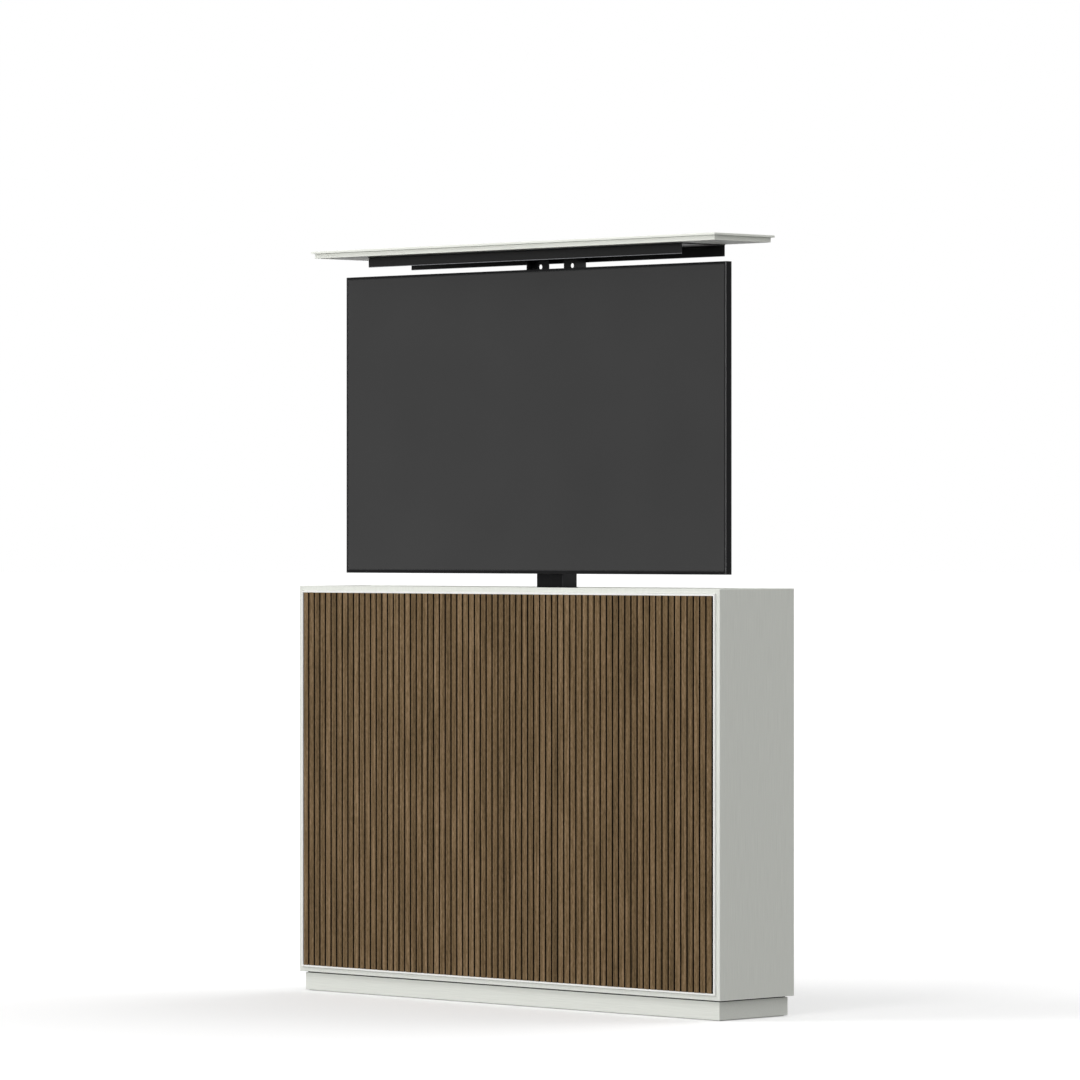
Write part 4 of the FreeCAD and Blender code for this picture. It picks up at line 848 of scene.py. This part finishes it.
# %% Ribs in the vents
RIB_PITCH, RIB_WIDTH, RIB_ROUNDING = 5 * MM, 2.6 * MM, 0.5 * MM
RIB_DEPTH, RIB_MIDDLE = FIELD_DEPTH * 0.9, FIELD_DEPTH * 0.55
for number, (low, high) in enumerate(fields, 1):
    count = int((high[0] - low[0]) / RIB_PITCH)
    values = {"First": (low[0] + RIB_PITCH / 2, back_y - RIB_MIDDLE, low[2]),
              "Step": (RIB_PITCH, 0, 0), "Count": count, "Width": RIB_WIDTH,
              "Depth": RIB_DEPTH, "Height": high[2] - low[2], "Rounding": RIB_ROUNDING,
              "Seed": number, "Facing": (0, 1, 0), "Face": rear_plastic, "Sides": rear_plastic}
    ribs = run_tree(new_piece(f"housing_ribs_{number}"), bars, values)
    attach(ribs, "carriage")
    print("vent", number, "with", count, "ribs")

# %% [markdown]
# ## Sockets in the bay
# A television has picture, network and sound sockets in a bay like this: each is a thin
# metal shell round an opening. Only their rims show, and each is a small rectangle, so
# the frame with mitred corners makes them too.

# %% Sockets in the bay
# Middle across and up from the bay's corner, width and height of each socket, in mm.
SOCKETS = [(14, 20, 15, 5.5), (40, 20, 15, 5.5), (66, 20, 15, 5.5), (96, 22, 13, 6),
           (126, 24, 16, 13), (24, 60, 9, 9), (48, 60, 9, 9), (74, 62, 13, 13)]
SHELL, SHELL_EASING, SHELL_SUNK = 0.8 * MM, 0.3 * MM, 3 * MM
outline = eased_outline((0, back_y - BAY_DEPTH), (SHELL, back_y - SHELL_SUNK), SHELL_EASING, (2,))
for number, (across, up, width, height) in enumerate(SOCKETS, 1):
    middle_x, middle_z = bay[0][0] + across * MM, bay[0][2] + up * MM
    shell = mitred_frame(f"socket_{number}", width * MM / 2, middle_z - height * MM / 2,
                         middle_z + height * MM / 2, outline,
                         lambda x, z, y: (middle_x + x, y, z), zinc)
    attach(shell, "carriage")
print(len(SOCKETS), "sockets")

# %% [markdown]
# ## Punched steel
# The brackets, rails and hanger plate of such a mount are punched with rows of slots, so
# that it fits many televisions. Painted holes would not let light through, so they are
# cut. This tree sets a slot-shaped cutter along a line and takes the whole row out of the
# plate at once. The cutter is the hull round two upright cylinders.

# %% Node tree for punched slots
PUNCH_SIDES, PUNCH_DEPTH = 16, 8 * MM
punch, given = start_tree("row of punched slots", {
    "First": "Vector", "Step": "Vector", "Count": "Int", "Length": "Float", "Width": "Float",
    "Depth": "Float", "Turn": "Float", "Finish": "Material"})
half = add(punch, "ShaderNodeMath", {0: given["Width"], 1: 2.0}, operation="DIVIDE").outputs[0]
end = add(punch, "GeometryNodeMeshCylinder", {"Vertices": PUNCH_SIDES, "Radius": half,
                                              "Depth": given["Depth"]}).outputs["Mesh"]
reach = add(punch, "ShaderNodeMath", {0: given["Length"], 1: given["Width"]},
            operation="SUBTRACT").outputs[0]
shift = add(punch, "ShaderNodeCombineXYZ", {"X": reach}).outputs["Vector"]
other = add(punch, "GeometryNodeTransform", {"Geometry": end, "Translation": shift})
ends = add(punch, "GeometryNodeJoinGeometry", {"Geometry": end})
punch.links.new(other.outputs["Geometry"], ends.inputs["Geometry"])
hull = add(punch, "GeometryNodeConvexHull", {"Geometry": ends.outputs["Geometry"]}).outputs[0]
turn = add(punch, "ShaderNodeCombineXYZ", {"X": math.pi / 2, "Y": given["Turn"]})
line = add(punch, "GeometryNodeMeshLine", {"Count": given["Count"],
                                           "Start Location": given["First"],
                                           "Offset": given["Step"]}).outputs["Mesh"]
row = add(punch, "GeometryNodeInstanceOnPoints", {
    "Points": line, "Instance": hull, "Rotation": turn.outputs["Vector"]}).outputs["Instances"]
row = add(punch, "GeometryNodeRealizeInstances", {"Geometry": row}).outputs["Geometry"]
cut = add(punch, "GeometryNodeMeshBoolean", {"Mesh 1": given["Geometry"], "Mesh 2": row},
          operation="DIFFERENCE", solver="EXACT").outputs["Mesh"]
end_tree(punch, cut, given["Finish"])

# %% [markdown]
# ## Brackets, rails and hanger
# Two upright brackets are screwed to the television and hang on two cross rails, and the
# rails hang on a plate on the mast. The rows differ in their place, their step and the
# size of their slots, so a list of rows goes with each plate, all in millimetres.

# %% Punched brackets, rails and hanger
# Start of each row on a bracket, from the bracket's middle, then its step and its count.
BRACKET_ROWS = [(-76, 20, 8), (-140, 24, 1), (128, 24, 1)]
BRACKET_X, BRACKET_Y, BRACKET_SLOT = 200, 7.3, (12, 6)
# The rows on the rails start at two places, along the middle of each rail.
RAIL_STARTS_X, RAIL_HALF, RAIL_STEP, RAIL_COUNT, RAIL_SLOT = (-208, 100), 15, 24, 5, (14, 7)
HANGER_X, HANGER_START, HANGER_STEP, HANGER_COUNT, HANGER_SLOT = 62, 30, 45, 9, (14, 9)


def punched(node, easing_mm, rows):
    """A plate with eased edges and rows of slots, in its place; all sizes in mm."""
    piece = eased(node, easing_mm)
    for first, step, count, (length, width), upright in rows:
        run_tree(piece, punch, {
            "First": [place * MM for place in first], "Step": [place * MM for place in step],
            "Count": count, "Length": length * MM, "Width": width * MM, "Depth": PUNCH_DEPTH,
            "Turn": math.radians(-90 if upright else 0), "Finish": piece.data.materials[0]})
    print(node, sum(row[2] for row in rows), "slots")
    return stand_in(piece, node)


low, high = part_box("tv_bracket_right")
middle_z = (low.z + high.z) / 2 / MM
for side, sign in (("left", -1), ("right", 1)):
    punched(f"tv_bracket_{side}", 0.5, [
        ((sign * BRACKET_X, BRACKET_Y, middle_z + start), (0, 0, step), count, BRACKET_SLOT, True)
        for start, step, count in BRACKET_ROWS])

low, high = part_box("mount_cross_rails")
punched("mount_cross_rails", 0.8, [
    ((start, high.y / MM, level), (RAIL_STEP, 0, 0), RAIL_COUNT, RAIL_SLOT, False)
    for start in RAIL_STARTS_X
    for level in (low.z / MM + RAIL_HALF, high.z / MM - RAIL_HALF)])

low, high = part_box("carriage_hanger_plate")
punched("carriage_hanger_plate", 0.8, [
    ((sign * HANGER_X, (low.y + high.y) / 2 / MM, low.z / MM + HANGER_START),
     (0, 0, HANGER_STEP), HANGER_COUNT, HANGER_SLOT, True) for sign in (-1, 1)])

# %% [markdown]
# ## Turned forms
# Screws, spindles and the motor are all turned, so each is a skin over a stack of rings.
# A profile could also be spun with a modifier, but then every level would be round. Here
# a ring's radius may follow the angle, which also gives a hexagon socket and a thread.

# %% Helpers for turned forms
def ring(radius, height, sides=24):
    """Points round the Z axis; radius may be a number or a function of the angle."""
    points = []
    for number in range(sides):
        angle = 2 * math.pi * number / sides
        reach = radius(angle) if callable(radius) else radius
        points.append((reach * math.cos(angle), reach * math.sin(angle), height))
    return points


def turned(name, rings, finish, centre=(0, 0, 0), closed=False):
    """A skin over rings from the lowest up, with sharp edges kept sharp."""
    form = skin([[Vector(point) + Vector(centre) for point in points] for points in rings],
                closed)
    for edge in form.edges:
        edge.smooth = edge.calc_face_angle(0) < math.radians(SHARP_DEGREES)
    for face in form.faces:
        face.smooth = True
    return from_form(name, form, finish)


# %% [markdown]
# ## A screw
# All screws here are button heads with a hexagon socket. The socket could be cut out with
# a boolean. But it is only two more rings, six-sided and inside the head, so the screw
# stays one light skin. It has no thread, because that is always inside a plate.

# %% Button-head screw
HEAD_MM, TIP_MM = 2.4, 0.5


def hexagon(across):
    """The reach of a hexagon of that width at any angle."""
    return lambda angle: across / 2 / math.cos(angle % (math.pi / 3) - math.pi / 6)


def socket_screw(head_mm, shank_mm, length_mm):
    """A button-head screw on the origin, its head up the Z axis."""
    head, shank, length, height = (size * MM for size in (head_mm, shank_mm, length_mm, HEAD_MM))
    shoulder = socket_floor = height * 0.35
    rings = [ring(shank * 0.7, -length), ring(shank, TIP_MM * MM - length), ring(shank, 0),
             ring(head, 0), ring(head, shoulder), ring(head * 0.9, height * 0.75),
             ring(head * 0.7, height), ring(hexagon(head), height),
             ring(hexagon(head * 0.95), socket_floor)]
    return turned("screw", rings, zinc)


# %% [markdown]
# ## One piece on many seats
# A screw is made once and used many times. Copies could be linked by hand, but each set
# has to be one finished mesh. So a tree sets the piece on every point of a mesh of seats,
# turned the way that its head points, and joins the copies.

# %% Node tree that sets a piece on seats
setter, given = start_tree("piece on every seat", {
    "Piece": "Object", "Direction": "Vector", "Finish": "Material"})
model = add(setter, "GeometryNodeObjectInfo", {"Object": given["Piece"]}).outputs["Geometry"]
turn = add(setter, "FunctionNodeAlignRotationToVector", {"Vector": given["Direction"]},
           axis="Z").outputs["Rotation"]
row = add(setter, "GeometryNodeInstanceOnPoints", {"Points": given["Geometry"],
                                                   "Instance": model, "Rotation": turn})
end_tree(setter, row.outputs["Instances"], given["Finish"])

# %% [markdown]
# ## Screws on their seats
# Screws hold the service cover, the mast's brackets, the television and the lid's arms.
# Their places could be typed in a second time, and would then go wrong with the first
# change. So they are read from the solid model, where each screw is a solid of its own: a
# helper walks from vertex to vertex until a solid is complete.

# %% Helper that finds the solids
def solids_of(node):
    """The lowest and highest corner of every separate solid of a sub-part, in order."""
    form = merged(node)
    found, waiting = [], set(form.verts)
    while waiting:
        stack, island = [waiting.pop()], []
        while stack:
            vertex = stack.pop()
            island.append(vertex.co.copy())
            for edge in vertex.link_edges:
                other = edge.other_vert(vertex)
                if other in waiting:
                    waiting.remove(other)
                    stack.append(other)
        found.append((Vector(map(min, zip(*island))), Vector(map(max, zip(*island)))))
    form.free()
    return sorted(found, key=lambda corners: corners[0][:])


# %% [markdown]
# ## Four sets of screws
# The sets differ in size and in the way their heads point. A set could be placed by hand
# in the editor. Here the end of each solid that the head is on gives a seat, and the tree
# puts a screw on every seat.

# %% Screws on their seats
# Radius of head and shank in mm, and the way the heads point.
SCREWS = {"service_cover_screws": (4, 2, (0, 1, 0)), "column_bracket_screws": (4, 2, (0, -1, 0)),
          "tv_mount_screws": (5.5, 3, (0, 1, 0)), "lid_arm_screws": (4, 2, (0, 0, -1))}
for node, (head_mm, shank_mm, direction) in SCREWS.items():
    way = Vector(direction)
    boxes = solids_of(node)
    reach = max((high - low).dot(Vector(map(abs, way))) for low, high in boxes)
    seats = bpy.data.meshes.new(node)
    seats.from_pydata([(low + high) / 2 + way * (reach / 2 - HEAD_MM * MM)
                       for low, high in boxes], [], [])
    model = socket_screw(head_mm, shank_mm, reach / MM - HEAD_MM)
    values = {"Piece": model, "Direction": direction, "Finish": zinc}
    screws = run_tree(new_piece(node + "_turned", seats), setter, values)
    bpy.data.objects.remove(model)
    stand_in(screws, node)
    print(node, len(boxes), "screws")

# %% [markdown]
# ## Spindles
# The two spindles carry a steep trapezoid thread with four starts, 20 mm per turn, so one
# turn lifts a stage by 20 mm. A profile swept along a helix would cross itself at so
# steep a lead. A stack of rings doesn't, when their radius dips where the thread's groove
# passes. The upper spindle is a tube, so its skin turns in at the top and runs back down.

# %% Threaded spindles
LEAD_MM, STARTS, GROOVE_MM, STEP_MM = 20, 4, 1.2, 0.8
# Half the groove's floor, and its sloped flank, as shares of the way to the next groove.
ROOT_HALF, FLANK = 0.14, 0.22
BORE_MM = {"lower_spindle": 0, "upper_spindle": 7.4}


def threaded(radius_mm, height_mm):
    """The reach of the thread at any angle of one height."""
    def reach(angle):
        turn = (STARTS * (height_mm / LEAD_MM - angle / (2 * math.pi))) % 1
        flank = min(max((abs(turn - 0.5) - ROOT_HALF) / FLANK, 0), 1)
        return (radius_mm - GROOVE_MM * (1 - flank)) * MM
    return reach


def upright_round(node):
    """The radius and length in mm of an upright round sub-part, and its foot's centre."""
    low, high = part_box(node)
    centre = ((low.x + high.x) / 2, (low.y + high.y) / 2, low.z)
    return (high.x - low.x) / 2 / MM, (high.z - low.z) / MM, centre


for node, bore_mm in BORE_MM.items():
    radius_mm, length_mm, centre = upright_round(node)
    count = int(length_mm / STEP_MM)
    heights = [length_mm * number / count for number in range(count + 1)]
    rings = [ring(threaded(radius_mm, height), height * MM) for height in heights]
    if bore_mm:
        rings += [ring(bore_mm * MM, length_mm * MM), ring(bore_mm * MM, 0)]
    spindle = turned(node + "_thread", rings, ground_steel, centre, closed=bool(bore_mm))
    stand_in(spindle, node)
    print(node, len(rings), "rings")

# %% [markdown]
# ## Motor
# The motor is a plain can with cooling grooves round it and a narrower cap on top. Grooves
# could be drawn as relief in the paint, but not on the outline. All of it is round, so
# its profile is listed from the foot up, and the grooves are a loop in that list.

# %% Motor
MOTOR_SIDES = 40
FINS, FIRST_FIN, FIN_PITCH, FIN_DEPTH = 12, 20, 6, 1.5
radius_mm, height_mm, centre = upright_round("drive_motor")
waist_mm, cap_mm = radius_mm - FIN_DEPTH, radius_mm * 0.7
profile = [(radius_mm - 1, 0), (radius_mm, 1), (radius_mm, 14), (waist_mm, 15)]
for number in range(FINS):
    foot = FIRST_FIN + number * FIN_PITCH
    profile += [(waist_mm, foot), (radius_mm, foot + 0.8), (radius_mm, foot + 3.2),
                (waist_mm, foot + 4)]
profile += [(waist_mm, 96), (radius_mm, 97), (radius_mm, height_mm - 22),
            (radius_mm - 1, height_mm - 21), (cap_mm, height_mm - 20),
            (cap_mm, height_mm - 1.5), (radius_mm * 0.65, height_mm)]
rings = [ring(reach * MM, height * MM, MOTOR_SIDES) for reach, height in profile]
stand_in(turned("drive_motor_turned", rings, motor_paint, centre), "drive_motor")
print("motor", round(radius_mm * 2), "mm across")
